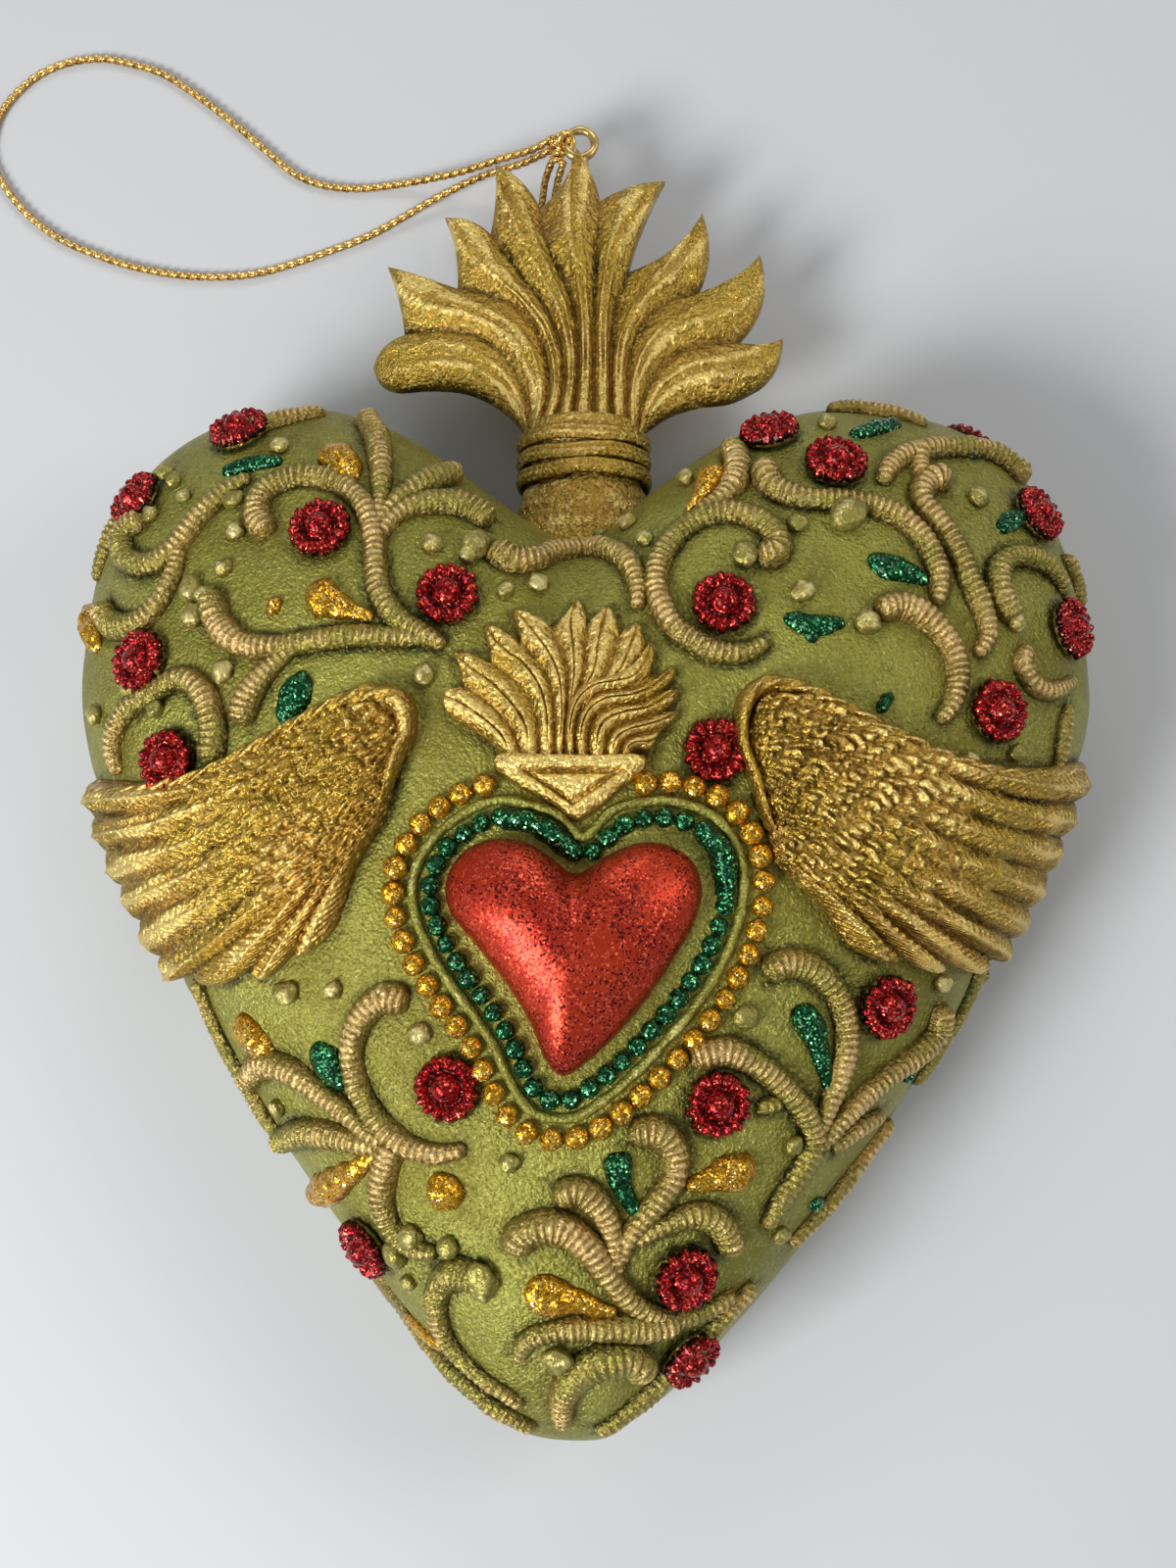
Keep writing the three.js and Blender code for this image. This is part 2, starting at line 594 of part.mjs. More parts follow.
// Bead rows round the small heart, with a plain rim between them
const BEAD_LINE = [
  [-0.5, -11.7], [2.3, -9.7], [5.5, -8], [9, -8], [12.3, -9.5], [13.9, -12.5], [14, -16],
  [13, -19.5], [11.3, -23],
  [9, -26.3], [6.3, -29.4], [3.5, -32.3], [0.7, -34.7], [-2, -36.3], [-4.7, -35.8], [-6.3, -33.3],
  [-7.8, -30], [-9.8, -27],
  [-12.2, -23.8], [-14.3, -20.5], [-15.7, -17.2], [-15.9, -14.2], [-14.5, -11.3], [-11.7, -8.9],
  [-9, -7.8], [-6, -8.3],
  [-3, -10],
];
const RIM_OUT = GREEN_BEAD_RADIUS + CLEARANCE + RIM_WIDTH / 2;
const AMBER_OUT = RIM_OUT + RIM_WIDTH / 2 + CLEARANCE + AMBER_BEAD_RADIUS;

function lineOut(distance) {
  return BEAD_LINE.map(([x, y], i) => {
    const [ax, ay] = BEAD_LINE[(i + BEAD_LINE.length - 1) % BEAD_LINE.length];
    const [bx, by] = BEAD_LINE[(i + 1) % BEAD_LINE.length];
    const length = Math.hypot(bx - ax, by - ay);
    return [x - ((by - ay) / length) * distance, y + ((bx - ax) / length) * distance];
  });
}

// A row of beads on one thread: each bead is a bulge between two necks
const BEAD_SIDES = 5;
const BEAD_PROFILE = [[0, 0.5], [0.5, 1]];

function beadRow(line, radius, closed) {
  const curve = discCurve(line, closed);
  const middles = curve.getSpacedPoints(8 * line.length).map((p) => skin(p.x, p.y));
  const length = middles.slice(1).reduce((sum, p, i) => sum + p.distanceTo(middles[i]), 0);
  const count = Math.round(length / (BEAD_PITCH * radius));
  const stations = Array.from({ length: count }, (_, i) => BEAD_PROFILE.map(([along, share]) => (
    { at: (i + along) / count, share }
  ))).flat();
  if (!closed) stations.push({ at: 1, share: BEAD_PROFILE[0][1] });
  return loft(stations.map(({ at, share }) => {
    const frame = frameOn(curve.getPointAt(at));
    const step = curve.getTangentAt(at);
    const ahead = frame.du.clone().multiplyScalar(step.x).addScaledVector(frame.dv, step.y);
    const side = frame.normal.clone().cross(ahead).normalize();
    const middle = frame.point.clone().addScaledVector(frame.normal, CLEARANCE + radius);
    return Array.from({ length: BEAD_SIDES }, (_, k) => {
      const angle = (2 * Math.PI * (k + 0.25)) / BEAD_SIDES;
      return middle.clone().addScaledVector(side, radius * share * Math.cos(angle))
        .addScaledVector(frame.normal, radius * share * Math.sin(angle));
    });
  }), closed);
}

// Small heart, inner flames and their collar
const SMALL_HEART = [
  [-1.3, -13.6], [1.8, -11.9], [5, -10.5], [8, -10.6], [10.6, -12.2], [11.6, -15], [10.8, -18.5],
  [8.3, -22.8],
  [4.5, -28], [0.8, -31.8], [-2.6, -34], [-4.2, -32.4], [-5.6, -29], [-8, -25], [-11.5, -20.5],
  [-14, -17.2], [-14.3, -14],
  [-12.5, -11.2], [-9.5, -10], [-6.5, -10.3], [-3.8, -11.9],
];
const SMALL_HEART_MIDDLE = [-1.6, -19.5];
const COLLAR = [
  [-9.2, -2.4], [-5, -2.3], [0, -2.3], [5.6, -2.6], [3.6, -4.8], [1.2, -6.8], [-1, -8], [-3.6, -6.4],
  [-6.8, -4.8],
];
const COLLAR_MIDDLE = [-1.6, -4.4];
const INNER_FLAMES = [
  [[-7.6, -1.7], [-10, 1.2], [-12.8, 3.6], [-15, 5.2]],
  [[-6.2, -1.7], [-8, 2.6], [-11, 6.8], [-14, 9.7]],
  [[-4.8, -1.7], [-5.8, 4], [-8.4, 9], [-11.2, 13.3]],
  [[-3.4, -1.7], [-4, 5], [-5.8, 11], [-8, 16]],
  [[-2.1, -1.7], [-2.2, 6], [-2, 12], [-2.4, 17.3]],
  [[-0.8, -1.7], [0.2, 6], [1.4, 12], [1.9, 16.6]],
  [[0.5, -1.7], [1.8, 4], [4, 8.4], [6.2, 11.8]],
  [[1.8, -1.7], [3.4, 2.4], [6.2, 5.4], [9.8, 8]],
  [[3, -1.7], [4.8, 0.8], [7.2, 2.2], [9.6, 3.7]],
];

// Wings: feathers that fan out from the shoulder
const LEFT_WING = [
  [[-19.8, 4.4], [-26, 3], [-34, -1], [-43, -3.6], [-51, -2.8], [-57.5, 0.2]],
  [[-18.8, 2.6], [-26, 0], [-35, -4], [-44, -6.4], [-51, -6], [-57, -3.2]],
  [[-18.8, 0.8], [-26, -2.4], [-35, -7], [-43, -9.4], [-50, -9.6], [-55.4, -7.6]],
  [[-19, -0.8], [-25.5, -4.6], [-34, -9.6], [-41.5, -12.4], [-47.5, -13.2], [-53, -12]],
  [[-19.3, -2.2], [-25, -6.8], [-32, -11.8], [-39, -15.4], [-45, -17], [-50.5, -17]],
  [[-19.6, -3.6], [-24.6, -8.4], [-30, -13.6], [-35.4, -17.6], [-40.4, -20.4], [-45.4, -21.4]],
  [[-19.9, -4.9], [-24.2, -9.6], [-28.2, -14.4], [-32, -18.6], [-35.6, -21.6], [-38.6, -23.6]],
  [[-20.3, -6.2], [-23.6, -10.4], [-26.4, -14.4], [-29, -18], [-31, -20.8], [-33, -23.4]],
  [[-20.8, -7.6], [-23, -10.8], [-24.8, -13.8], [-26.2, -16.6], [-27.4, -18.8], [-28.4, -21]],
];
const RIGHT_WING = [
  [[17.6, 5], [24, 4], [32, 0.6], [41, -2.2], [49, -1.8], [57, 2]],
  [[16.6, 3], [24, 1.4], [33, -2.4], [41.5, -5], [49, -5], [56.6, -1.8]],
  [[16.4, 1], [23.8, -1], [32.5, -5.2], [40.5, -8], [48, -8.4], [55.2, -6]],
  [[16.6, -1], [23.6, -3.4], [31.4, -7.8], [38.6, -11], [46, -12], [53.4, -10.6]],
  [[17, -3], [23.4, -5.8], [30, -10.2], [36.6, -13.6], [43.4, -15.4], [50.4, -15]],
  [[17.4, -5], [23, -8], [28.6, -12.2], [34.2, -15.8], [40.4, -18.2], [46.4, -18.8]],
  [[18, -7], [22.4, -10], [27, -13.6], [31.6, -17], [36.4, -19.8], [41.4, -21.6]],
  [[18.4, -9], [21.8, -11.6], [25.2, -14.4], [28.6, -17.2], [32.4, -20], [36, -22.4]],
  [[18.6, -11], [21, -13], [23.4, -15], [25.8, -17], [28.2, -19.4], [30.4, -21.8]],
];

// Vines: ribbed scrolls [x, y], each group one casting. Their ends taper.
const VINES = {
  vine_left_crest: [
    [[-25.5, 41.5], [-23.8, 38], [-22.8, 34], [-22.4, 30], [-22.6, 24.4]],
    [[-14.5, 33], [-17.8, 30.6], [-20.5, 28.2], [-22.8, 24.6]],
    [[-10.2, 25.8], [-13, 27.6], [-16.5, 28], [-20, 26.6], [-22.6, 23]],
    [[-34.2, 24.2], [-35.8, 26.8], [-35, 30], [-31.6, 31.6], [-27.6, 30.8], [-24.6, 28.2],
      [-23, 24.5], [-22.5, 20.5],
      [-21.9, 17], [-20, 14], [-17, 12], [-14.8, 10.6]],
    [[-40.5, 18.2], [-39.4, 14.5], [-37, 12], [-33.5, 11.2], [-29.5, 11.5], [-25, 12],
      [-20.5, 11.8], [-16.2, 11.4]],
    [[-30.5, 11.2], [-33.4, 8.8], [-35.6, 5.8], [-36.4, 2.8]],
  ],
  vine_left_outer: [
    [[-49.2, 29], [-52, 27.4], [-51.4, 24.4], [-48, 22.6], [-45, 24], [-42.6, 27.2], [-39.8, 30.2],
      [-37, 32.2]],
    [[-54, 19.2], [-52.6, 16.6], [-50, 15.6], [-47.2, 16.8], [-45.2, 20], [-44.2, 24]],
  ],
  vine_left_hook: [
    [[-39.6, -1], [-39.4, 3], [-40.6, 6.6], [-43.4, 8.6], [-46.6, 7.4], [-50, 5.8], [-51.6, 2.4],
      [-51, -0.6]],
  ],
  vine_right_crest: [
    [[-10.5, 22.6], [-8.4, 21], [-5.6, 21.4], [-3.2, 23], [0, 23.7], [2.6, 22.8], [4.4, 20.6],
      [5.2, 18], [5.2, 14.8]],
    [[16, 36.5], [16.6, 33.4], [15.9, 30.4], [14, 28], [11.6, 26.6]],
    [[19, 11.4], [16.4, 10], [13, 10.2], [10, 12], [7.9, 15], [7.2, 18.5], [8, 21.6], [10.4, 24.8],
      [13.6, 26.4],
      [17, 26.2], [19.8, 24.2], [20, 21.6], [17.8, 20.8]],
  ],
  vine_right_fork: [
    [[19.6, 33], [19.5, 31.2], [20.8, 29.3], [23.6, 28.3], [27.4, 28.2], [31, 27.7], [34.4, 26.2],
      [36.5, 23.8],
      [37.7, 20.8], [37.8, 18.2], [37.3, 16.2]],
  ],
  vine_right_long: [
    [[50, 34.4], [48.8, 36.6], [46, 37.8], [42, 37.3], [38, 36.2], [35, 34.8], [33, 32.6], [32.3, 30.6]],
    [[40.2, 31.4], [38.6, 31.8], [37, 30.8], [36.6, 28.8], [37.9, 26.8], [39.3, 24.8], [40.5, 22.3],
      [41.4, 19.5], [42.6, 16.5], [43.1, 13.6], [41.6, 10.8]],
    [[37.4, 36.6], [36.8, 34], [37.2, 30]],
  ],
  vine_right_rim: [
    [[46.4, 15.6], [44.9, 18.2], [44.8, 20.8], [46.2, 23], [49.2, 23.8], [52.4, 22.6], [54, 20.6]],
  ],
  vine_right_hook: [
    [[30.5, 15], [33.6, 15.9], [36.6, 14.4], [38.7, 11.8], [39.4, 8.5], [38.6, 5.4], [37, 3.2]],
  ],
  vine_lower_left: [
    [[-36.5, -33.4], [-34, -32], [-31, -32.8], [-28, -34.8], [-25, -37], [-22.4, -39.2], [-20, -41]],
    [[-33, -39.6], [-29.5, -39.1], [-26, -39.6], [-22.8, -40.5], [-19.6, -41]],
    [[-18, -26.4], [-20.8, -26], [-23, -27.8], [-24.1, -31], [-23.6, -34.4], [-21.8, -37.6],
      [-19.2, -40.2],
      [-15.8, -41.5], [-12.2, -41.2]],
    [[-19.6, -40.2], [-20.8, -43.4], [-21, -46.4], [-20, -49], [-18, -50.9], [-15.2, -51.4]],
  ],
  vine_bottom_left: [
    [[-10.6, -54], [-13.4, -53.4], [-15.3, -55.2], [-15.3, -58], [-14.2, -60.8], [-12, -63.2],
      [-9.4, -65.2], [-6.6, -67]],
  ],
  vine_bottom_tip: [
    [[6, -63.6], [4.2, -62], [1.4, -62.2], [-1, -63.6], [-2.6, -66], [-2.6, -69]],
  ],
  vine_lower_middle: [
    [[-7.6, -51.4], [-6, -49.2], [-3, -48.8], [-0.2, -50.6], [2, -53.6], [4.6, -56.4], [8.2, -58],
      [12, -57.4],
      [15.2, -55.6]],
    [[-3.6, -45.8], [-1, -45.3], [1.2, -47], [2.6, -50], [3, -53.6]],
    [[4, -39.6], [6.8, -39.4], [8.7, -41.2], [8.6, -44.2], [6.6, -46.8], [4.4, -49.4], [3.2, -52.4]],
    [[4.4, -50.4], [7.8, -48.6], [11, -47.6], [13.6, -48.7], [14.8, -51.4]],
    [[9.4, -58], [6, -58.8], [2, -58.9], [-2, -58.9], [-5.6, -59.8], [-7.3, -62.2]],
  ],
  vine_lower_right: [
    [[10.2, -32.2], [13.8, -31.4], [17.2, -32.7], [20.2, -35], [22.6, -37.8], [23.3, -40.6],
      [21.8, -43.4], [19.8, -46.4],
      [18.4, -49]],
    [[17.8, -23.6], [20.6, -22.4], [23.8, -23.4], [26, -26], [26.8, -29.5], [26.2, -33],
      [24.9, -36.6], [23.6, -40]],
    [[38, -25.5], [37.4, -28.4], [35, -30.8], [32, -33], [29, -35.4], [26.2, -38.2], [23.8, -41]],
  ],
};
const VINE_TAPER = 0.62;

// Studs, in the order they were drawn, from the left lobe round to the tip
const STUDS = [
  [-39.2, 39], [-50.6, 31.6], [-28.5, 24.4], [-14.7, 16.3], [-48, 11.1], [-44.3, -0.2], [27.2, 33],
  [20.5, 38],
  [45.5, 42.4], [50.6, 29.6], [53.6, 16.2], [14.3, 15.3], [43.6, 5], [13.2, -0.7], [31, -26.2],
  [-14, -35], [13, -36.6],
  [-23, -50.8], [9.8, -53.7], [10.4, -62],
];

// Leaves [x, y, width]
const LEAVES = {
  amber_leaf_crest: [AMBER, [[-28.4, 35.4, 2.4], [-27.4, 34, 3.8], [-26.2, 32.4, 3.6], [-25.6, 31.4, 2]]],
  amber_leaf_tail: [AMBER, [[-29.4, 17.6, 3], [-28, 16.6, 4.4], [-26, 15.4, 2.8], [-23.8, 14.4, 1.6]]],
  amber_leaf_rim: [AMBER, [[-57, 20.5, 2], [-56, 18, 3.6], [-55, 15.8, 3.2], [-54, 14, 1.6]]],
  amber_leaf_foot: [AMBER, [[-6, -54.6, 3], [-4, -55.6, 4], [-1, -56.2, 2.8], [1.4, -56.8, 1.4]]],
  green_leaf_left: [EMERALD, [[-29.6, 8.2, 1.4], [-30.2, 6.4, 3], [-31, 4.2, 3], [-31.3, 2.6, 1.6]]],
  green_leaf_right: [EMERALD, [[30.4, 21, 1.4], [32, 20.4, 2.8], [34.4, 20, 2.4], [36, 19.6, 1.4]]],
  green_leaf_lower: [EMERALD, [[3, -41.6, 3], [3.2, -43.4, 3], [3.6, -45, 2], [4, -46.4, 1.4]]],
};

// Cutters that keep the vines clear of what is set among them
function studPlace([x, y]) {
  const frame = frameAt(spotAt(x, y));
  return {
    position: frame.point.clone().addScaledVector(frame.normal, CLEARANCE),
    quaternion: new THREE.Quaternion().setFromUnitVectors(new THREE.Vector3(0, 1, 0), frame.normal),
  };
}

function studCutter(stud) {
  const { position, quaternion } = studPlace(stud);
  const wide = STUD_RADIUS + CLEARANCE;
  const round = new THREE.CylinderGeometry(wide, wide, 2 * STUD_HEIGHT + 6, 20);
  return toSolid(round, new THREE.Matrix4().compose(position, quaternion, new THREE.Vector3(1, 1, 1)));
}

const wing = (feathers, grow) => toSolid(fan(feathers, 12, FEATHER_RISE, FEATHER_VALLEY, grow));
const innerFlames = (grow) => toSolid(fan(INNER_FLAMES, 4, FLAME_RISE, FLAME_VALLEY, grow));
const studCutters = STUDS.map(studCutter);
const leafCutters = Object.values(LEAVES).map(([, path]) => (
  toSolid(strip(path, 5, LEAF_RISE, { grow: CLEARANCE }))
));
const wingCutters = [LEFT_WING, RIGHT_WING].map((feathers) => wing(feathers, CLEARANCE));
const rowWidth = AMBER_OUT + 2 * AMBER_BEAD_RADIUS + 2 * CLEARANCE;
const rowPath = lineOut(AMBER_OUT / 2).map(([x, y]) => [x, y, rowWidth]);
const rowCutter = toSolid(strip(rowPath, 40, 0.4, { closed: true }));
const flamesCutter = innerFlames(CLEARANCE);
const collarCutter = toSolid(pad(COLLAR, COLLAR_MIDDLE, 24, COLLAR_RISE + 1, 3, CLEARANCE));
const neckCutter = toSolid(loft(neckRings(CLEARANCE)));

function vine(paths) {
  const strips = paths.map((path) => {
    const last = path.length - 1;
    const widths = path.map((_, i) => VINE_WIDTH * (i === 0 || i === last ? VINE_TAPER : 1));
    const legs = path.slice(1).map(([x, y], i) => Math.hypot(x - path[i][0], y - path[i][1]));
    const length = legs.reduce((sum, part) => sum + part, 0);
    const steps = Math.max(4, Math.round(length / VINE_WIDTH));
    return strip(path.map(([x, y], i) => [x, y, widths[i]]), steps, VINE_RISE);
  });
  const around = [...studCutters, ...leafCutters, ...wingCutters, rowCutter, flamesCutter];
  return cut(join(strips), [...around, neckCutter]);
}

function stud() {
  const profile = [
    [0, 0], [STUD_RADIUS, 0], [STUD_RADIUS, 0.36 * STUD_HEIGHT],
    [0.6 * STUD_RADIUS, 0.86 * STUD_HEIGHT], [0, STUD_HEIGHT],
  ];
  return new THREE.LatheGeometry(profile.map(([x, y]) => new THREE.Vector2(x, y)), 10);
}

// The assembly
addPiece('heart_shell', toGeometry(cut(toSolid(heartShell()), [neckCutter])), BODY_GOLD());
addPiece('back_plate', backPlate(), BODY_GOLD());
addPiece('flame_crown', toGeometry(flameCrown()), ANTIQUE_GOLD());
for (let i = 0; i < BAND_COUNT; i += 1) addPiece(`neck_band_${i + 1}`, neckBand(i), ANTIQUE_GOLD());
addPiece('hanging_eye', toGeometry(hangingEye()), BRASS_WIRE());
addPiece('cord_knot', toGeometry(cordKnot()), BRASS_WIRE());
addPiece('cord_loop', cordTube(CORD_LOOP, 78), BRASS_WIRE());
Object.entries(CORD_TAILS).forEach(([name, route]) => addPiece(name, cordTube(route, 6), BRASS_WIRE()));

const amberLine = lineOut(AMBER_OUT).slice(2, -2);
addPiece('red_heart', pad(SMALL_HEART, SMALL_HEART_MIDDLE, 30, SMALL_HEART_RISE, 2.2), SATIN_RED());
const rimPath = lineOut(RIM_OUT).map(([x, y]) => [x, y, RIM_WIDTH]);
addPiece('heart_rim', strip(rimPath, 42, RIM_RISE, { closed: true }), PALE_GOLD());
addPiece('green_bead_row', beadRow(BEAD_LINE, GREEN_BEAD_RADIUS, true), EMERALD());
const collarAndStuds = [collarCutter, ...studCutters];
const amberBeads = toSolid(beadRow(amberLine, AMBER_BEAD_RADIUS, false));
addPiece('amber_bead_row', toGeometry(cut(amberBeads, collarAndStuds)), AMBER());
addPiece('flame_collar', pad(COLLAR, COLLAR_MIDDLE, 24, COLLAR_RISE, 3), ANTIQUE_GOLD());
addPiece('inner_flames', toGeometry(cut(innerFlames(0), collarAndStuds)), ANTIQUE_GOLD());

const rowsAndStuds = [rowCutter, ...studCutters];
addPiece('left_wing', toGeometry(cut(wing(LEFT_WING, 0), rowsAndStuds)), ANTIQUE_GOLD());
addPiece('right_wing', toGeometry(cut(wing(RIGHT_WING, 0), rowsAndStuds)), ANTIQUE_GOLD());
Object.entries(VINES).forEach(([name, paths]) => addPiece(name, toGeometry(vine(paths)), PALE_GOLD()));
STUDS.forEach((place, i) => addPiece(`ruby_stud_${i + 1}`, stud(), RUBY(), studPlace(place)));
Object.entries(LEAVES).forEach(([name, [colour, path]]) => {
  addPiece(name, toGeometry(cut(toSolid(strip(path, 5, LEAF_RISE)), studCutters)), colour());
});

// The origin lies under the middle of the ornament, its cord apart
const CORD_PIECES = ['cord_knot', 'cord_loop', ...Object.keys(CORD_TAILS)];
const box = new THREE.Box3();
pieces.children.filter((mesh) => !CORD_PIECES.includes(mesh.name)).forEach((mesh) => {
  mesh.updateMatrixWorld(true);
  box.union(new THREE.Box3().setFromObject(mesh, true));
});
const middle = box.getCenter(new THREE.Vector3());
pieces.position.set(-middle.x, -middle.y, 0);

export default ornament;
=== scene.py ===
"""A hanging sacred heart: a puffed green-gold heart with a flame crown, two wings, a small red
heart in bead rows, ribbed scroll vines, glitter gems and leaves, and a metallic cord."""

import math

import bmesh
import bpy
import numpy as np
from mathutils import Matrix, Vector
from mathutils.kdtree import KDTree


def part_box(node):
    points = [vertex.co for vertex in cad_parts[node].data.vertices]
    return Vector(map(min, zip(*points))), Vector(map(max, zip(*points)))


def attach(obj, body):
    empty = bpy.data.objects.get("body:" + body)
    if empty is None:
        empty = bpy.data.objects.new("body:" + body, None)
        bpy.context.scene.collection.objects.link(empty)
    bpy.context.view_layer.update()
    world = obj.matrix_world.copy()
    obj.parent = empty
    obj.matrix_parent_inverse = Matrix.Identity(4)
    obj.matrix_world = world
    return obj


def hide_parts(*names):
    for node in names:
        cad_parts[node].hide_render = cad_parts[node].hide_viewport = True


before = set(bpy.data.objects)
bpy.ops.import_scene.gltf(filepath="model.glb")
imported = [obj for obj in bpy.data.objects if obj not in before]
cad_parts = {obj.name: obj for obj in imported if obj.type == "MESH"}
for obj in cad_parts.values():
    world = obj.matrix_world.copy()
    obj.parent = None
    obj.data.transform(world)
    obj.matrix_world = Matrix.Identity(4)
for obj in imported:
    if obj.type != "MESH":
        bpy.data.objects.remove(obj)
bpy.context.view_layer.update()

MM = 0.001

# The ornament's outline and puffed form, in millimetres, as the casting has them
CENTRE_Y = -4
CLEFT_Y = 27
LOBE_TOP_Y = 45.5
TIP_Y = -71.5
RIGHT_HALF = dict(
    half=58, widest_y=10.5, lobe_x=30, cleft_pull=(5, 5), lobe_pull=(14, 0.5),
    shoulder=(20, 24), flank=15, waist=(22, 12.5), tip=(4, 1.5),
)
LEFT_HALF = dict(
    half=58.5, widest_y=12, lobe_x=31.5, cleft_pull=(9, 2), lobe_pull=(13.5, 2),
    shoulder=(19.5, 22.5), flank=24, waist=(21, 14.5), tip=(10.5, 2.5),
)
DRAWN_HALF = 58
DEPTH = 36
EDGE_Z = 11
TUCK = 4
ROUND_OUT = 2.6
ROUND_IN = 2.3
SOFTEN = 0.55
WALL = 3
FOOT_RIM = 1.5
LEDGE = 1.5
PLATE_TOP = 2.3
NECK_X = -0.5
NECK_HALF_WIDTH = 7
NECK_HALF_DEPTH = 5.4
CROWN_Z = 13
FLAME_TIP_Z = 11.5
BAND_BOTTOM_Y = 36.2

# The casting was drawn about its own centre; the first neck band shows where that lies now
band_low, band_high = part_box("neck_band_1")
SHIFT = np.array([
    (band_low.x + band_high.x) / 2 / MM - NECK_X,
    band_low.y / MM - BAND_BOTTOM_Y,
    0,
])


def in_frame(points):
    """Drawing millimetres to the frame's metres."""
    return (np.asarray(points, float) + SHIFT) * MM


def placed_object(name, data):
    """An object of some data, in the scene."""
    made = bpy.data.objects.new(name, data)
    bpy.context.scene.collection.objects.link(made)
    return made


# The camera, above the ornament and tilted a little towards its crown
CAMERA_SPOT = (0, -46.2, 233.37)
CAMERA_TILT = math.radians(12)
camera = placed_object("camera", bpy.data.cameras.new("camera"))
camera.location = in_frame(CAMERA_SPOT)
camera.rotation_euler = (CAMERA_TILT, 0, 0)
camera.data.lens = 45
camera.data.sensor_width = 36
camera.data.clip_start = 0.01
bpy.context.scene.camera = camera
bpy.context.scene.view_settings.view_transform = "Standard"


# Curves, noise and the puffed skin
CURVE_SAMPLES = 14
HEADING_STEP = 0.05
SLOPE_STEP = 0.002
HALVINGS = 26
BLEND_STEPS = 14
EDGE_SPOTS = 720


def smooth_curve(stops, closed=False):
    """A centripetal Catmull-Rom curve through the stops."""
    stops = np.asarray(stops, float)
    if closed:
        stops = np.vstack([stops[-1:], stops, stops[:2]])
    else:
        stops = np.vstack([2 * stops[0] - stops[1], stops, 2 * stops[-1] - stops[-2]])
    found = []
    for p0, p1, p2, p3 in zip(stops, stops[1:], stops[2:], stops[3:]):
        t1 = np.linalg.norm(p1 - p0) ** 0.5
        t2 = t1 + np.linalg.norm(p2 - p1) ** 0.5
        t3 = t2 + np.linalg.norm(p3 - p2) ** 0.5
        t = np.linspace(t1, t2, CURVE_SAMPLES, endpoint=False)[:, None]
        a1 = (t1 - t) / t1 * p0 + t / t1 * p1
        a2 = (t2 - t) / (t2 - t1) * p1 + (t - t1) / (t2 - t1) * p2
        a3 = (t3 - t) / (t3 - t2) * p2 + (t - t2) / (t3 - t2) * p3
        b1 = (t2 - t) / t2 * a1 + t / t2 * a2
        b2 = (t3 - t) / (t3 - t1) * a2 + (t - t1) / (t3 - t1) * a3
        found.append((t2 - t) / (t2 - t1) * b1 + (t - t1) / (t2 - t1) * b2)
    return np.vstack([*found, stops[-2:-1]])


def along(points):
    """How far along a line of points each point lies."""
    steps = np.linalg.norm(np.diff(points, axis=0), axis=1)
    return np.concatenate([[0], np.cumsum(steps)])


def look_up(at, places, values):
    """Rows of values at some places, in straight steps between the known ones."""
    return np.stack([np.interp(at, places, column) for column in values.T], axis=1)


def heading(at, places, values):
    """Which way a line runs at some places along it."""
    return look_up(at + HEADING_STEP, places, values) - look_up(at - HEADING_STEP, places, values)


def unit(vectors):
    """Rows of vectors, each brought to a length of 1."""
    return vectors / np.linalg.norm(vectors, axis=1, keepdims=True)


def polar(radius, turn):
    """The x and y of points at a radius and a turn."""
    return np.stack([radius * np.cos(turn), radius * np.sin(turn)], axis=1)


def about_centre(radius, turn, z):
    """Points at a radius and a turn about the middle of the body."""
    return np.column_stack([polar(radius, turn) + (0, CENTRE_Y), z + 0 * radius])


def bumps(points, size, seed):
    """Soft noise between -1 and 1, with bumps of a size in millimetres."""
    spots = np.asarray(points, float) / size + 0.37 * seed
    cell = np.floor(spots).astype(np.int64)
    part = spots - cell
    part = part * part * (3 - 2 * part)
    total = 0
    for corner in np.ndindex(2, 2, 2):
        at = cell + np.array(corner)
        code = (at[:, 0] * 73856093) ^ (at[:, 1] * 19349663) ^ (at[:, 2] * 83492791) ^ (seed * 7919)
        code = ((code ^ (code >> 13)) * 1274126177) & 0x7FFFFFFF
        code = ((code ^ (code >> 11)) * 668265263) & 0x7FFFFFFF
        share = np.prod(np.where(np.array(corner) == 1, part, 1 - part), axis=1)
        total = total + share * (code / 0x3FFFFFFF - 1)
    return total


def sheet_bumps(u, v, seed):
    """Soft noise over a sheet, with bumps about 1 wide in both of its directions."""
    return bumps(np.column_stack([u, v, 0 * u]), 1, seed)


def half_outline(side):
    """One half of the heart's outline, from its cleft to its tip, with x counted outwards."""
    lobe = (side["lobe_x"], LOBE_TOP_Y)
    widest = (side["half"], side["widest_y"])
    corner = (side["tip"][0], TIP_Y + side["tip"][1])
    runs = [
        [(0, CLEFT_Y), (side["cleft_pull"][0], CLEFT_Y + side["cleft_pull"][1]),
         (lobe[0] - side["lobe_pull"][0], LOBE_TOP_Y - side["lobe_pull"][1]), lobe],
        [lobe, (lobe[0] + side["shoulder"][0], LOBE_TOP_Y),
         (side["half"], side["widest_y"] + side["shoulder"][1]), widest],
        [widest, (side["half"], side["widest_y"] - side["flank"]),
         (side["waist"][0], TIP_Y + side["waist"][1]), corner],
        [corner, (side["tip"][0] * 0.6, TIP_Y), (side["tip"][0] * 0.25, TIP_Y), (0, TIP_Y)],
    ]
    t = np.linspace(0, 1, 41)[:, None]
    return np.vstack([
        (1 - t) ** 3 * np.array(a) + 3 * t * (1 - t) ** 2 * np.array(b)
        + 3 * t ** 2 * (1 - t) * np.array(c) + t ** 3 * np.array(d)
        for a, b, c, d in runs
    ])


TURNS = np.arange(EDGE_SPOTS) / EDGE_SPOTS * 2 * math.pi


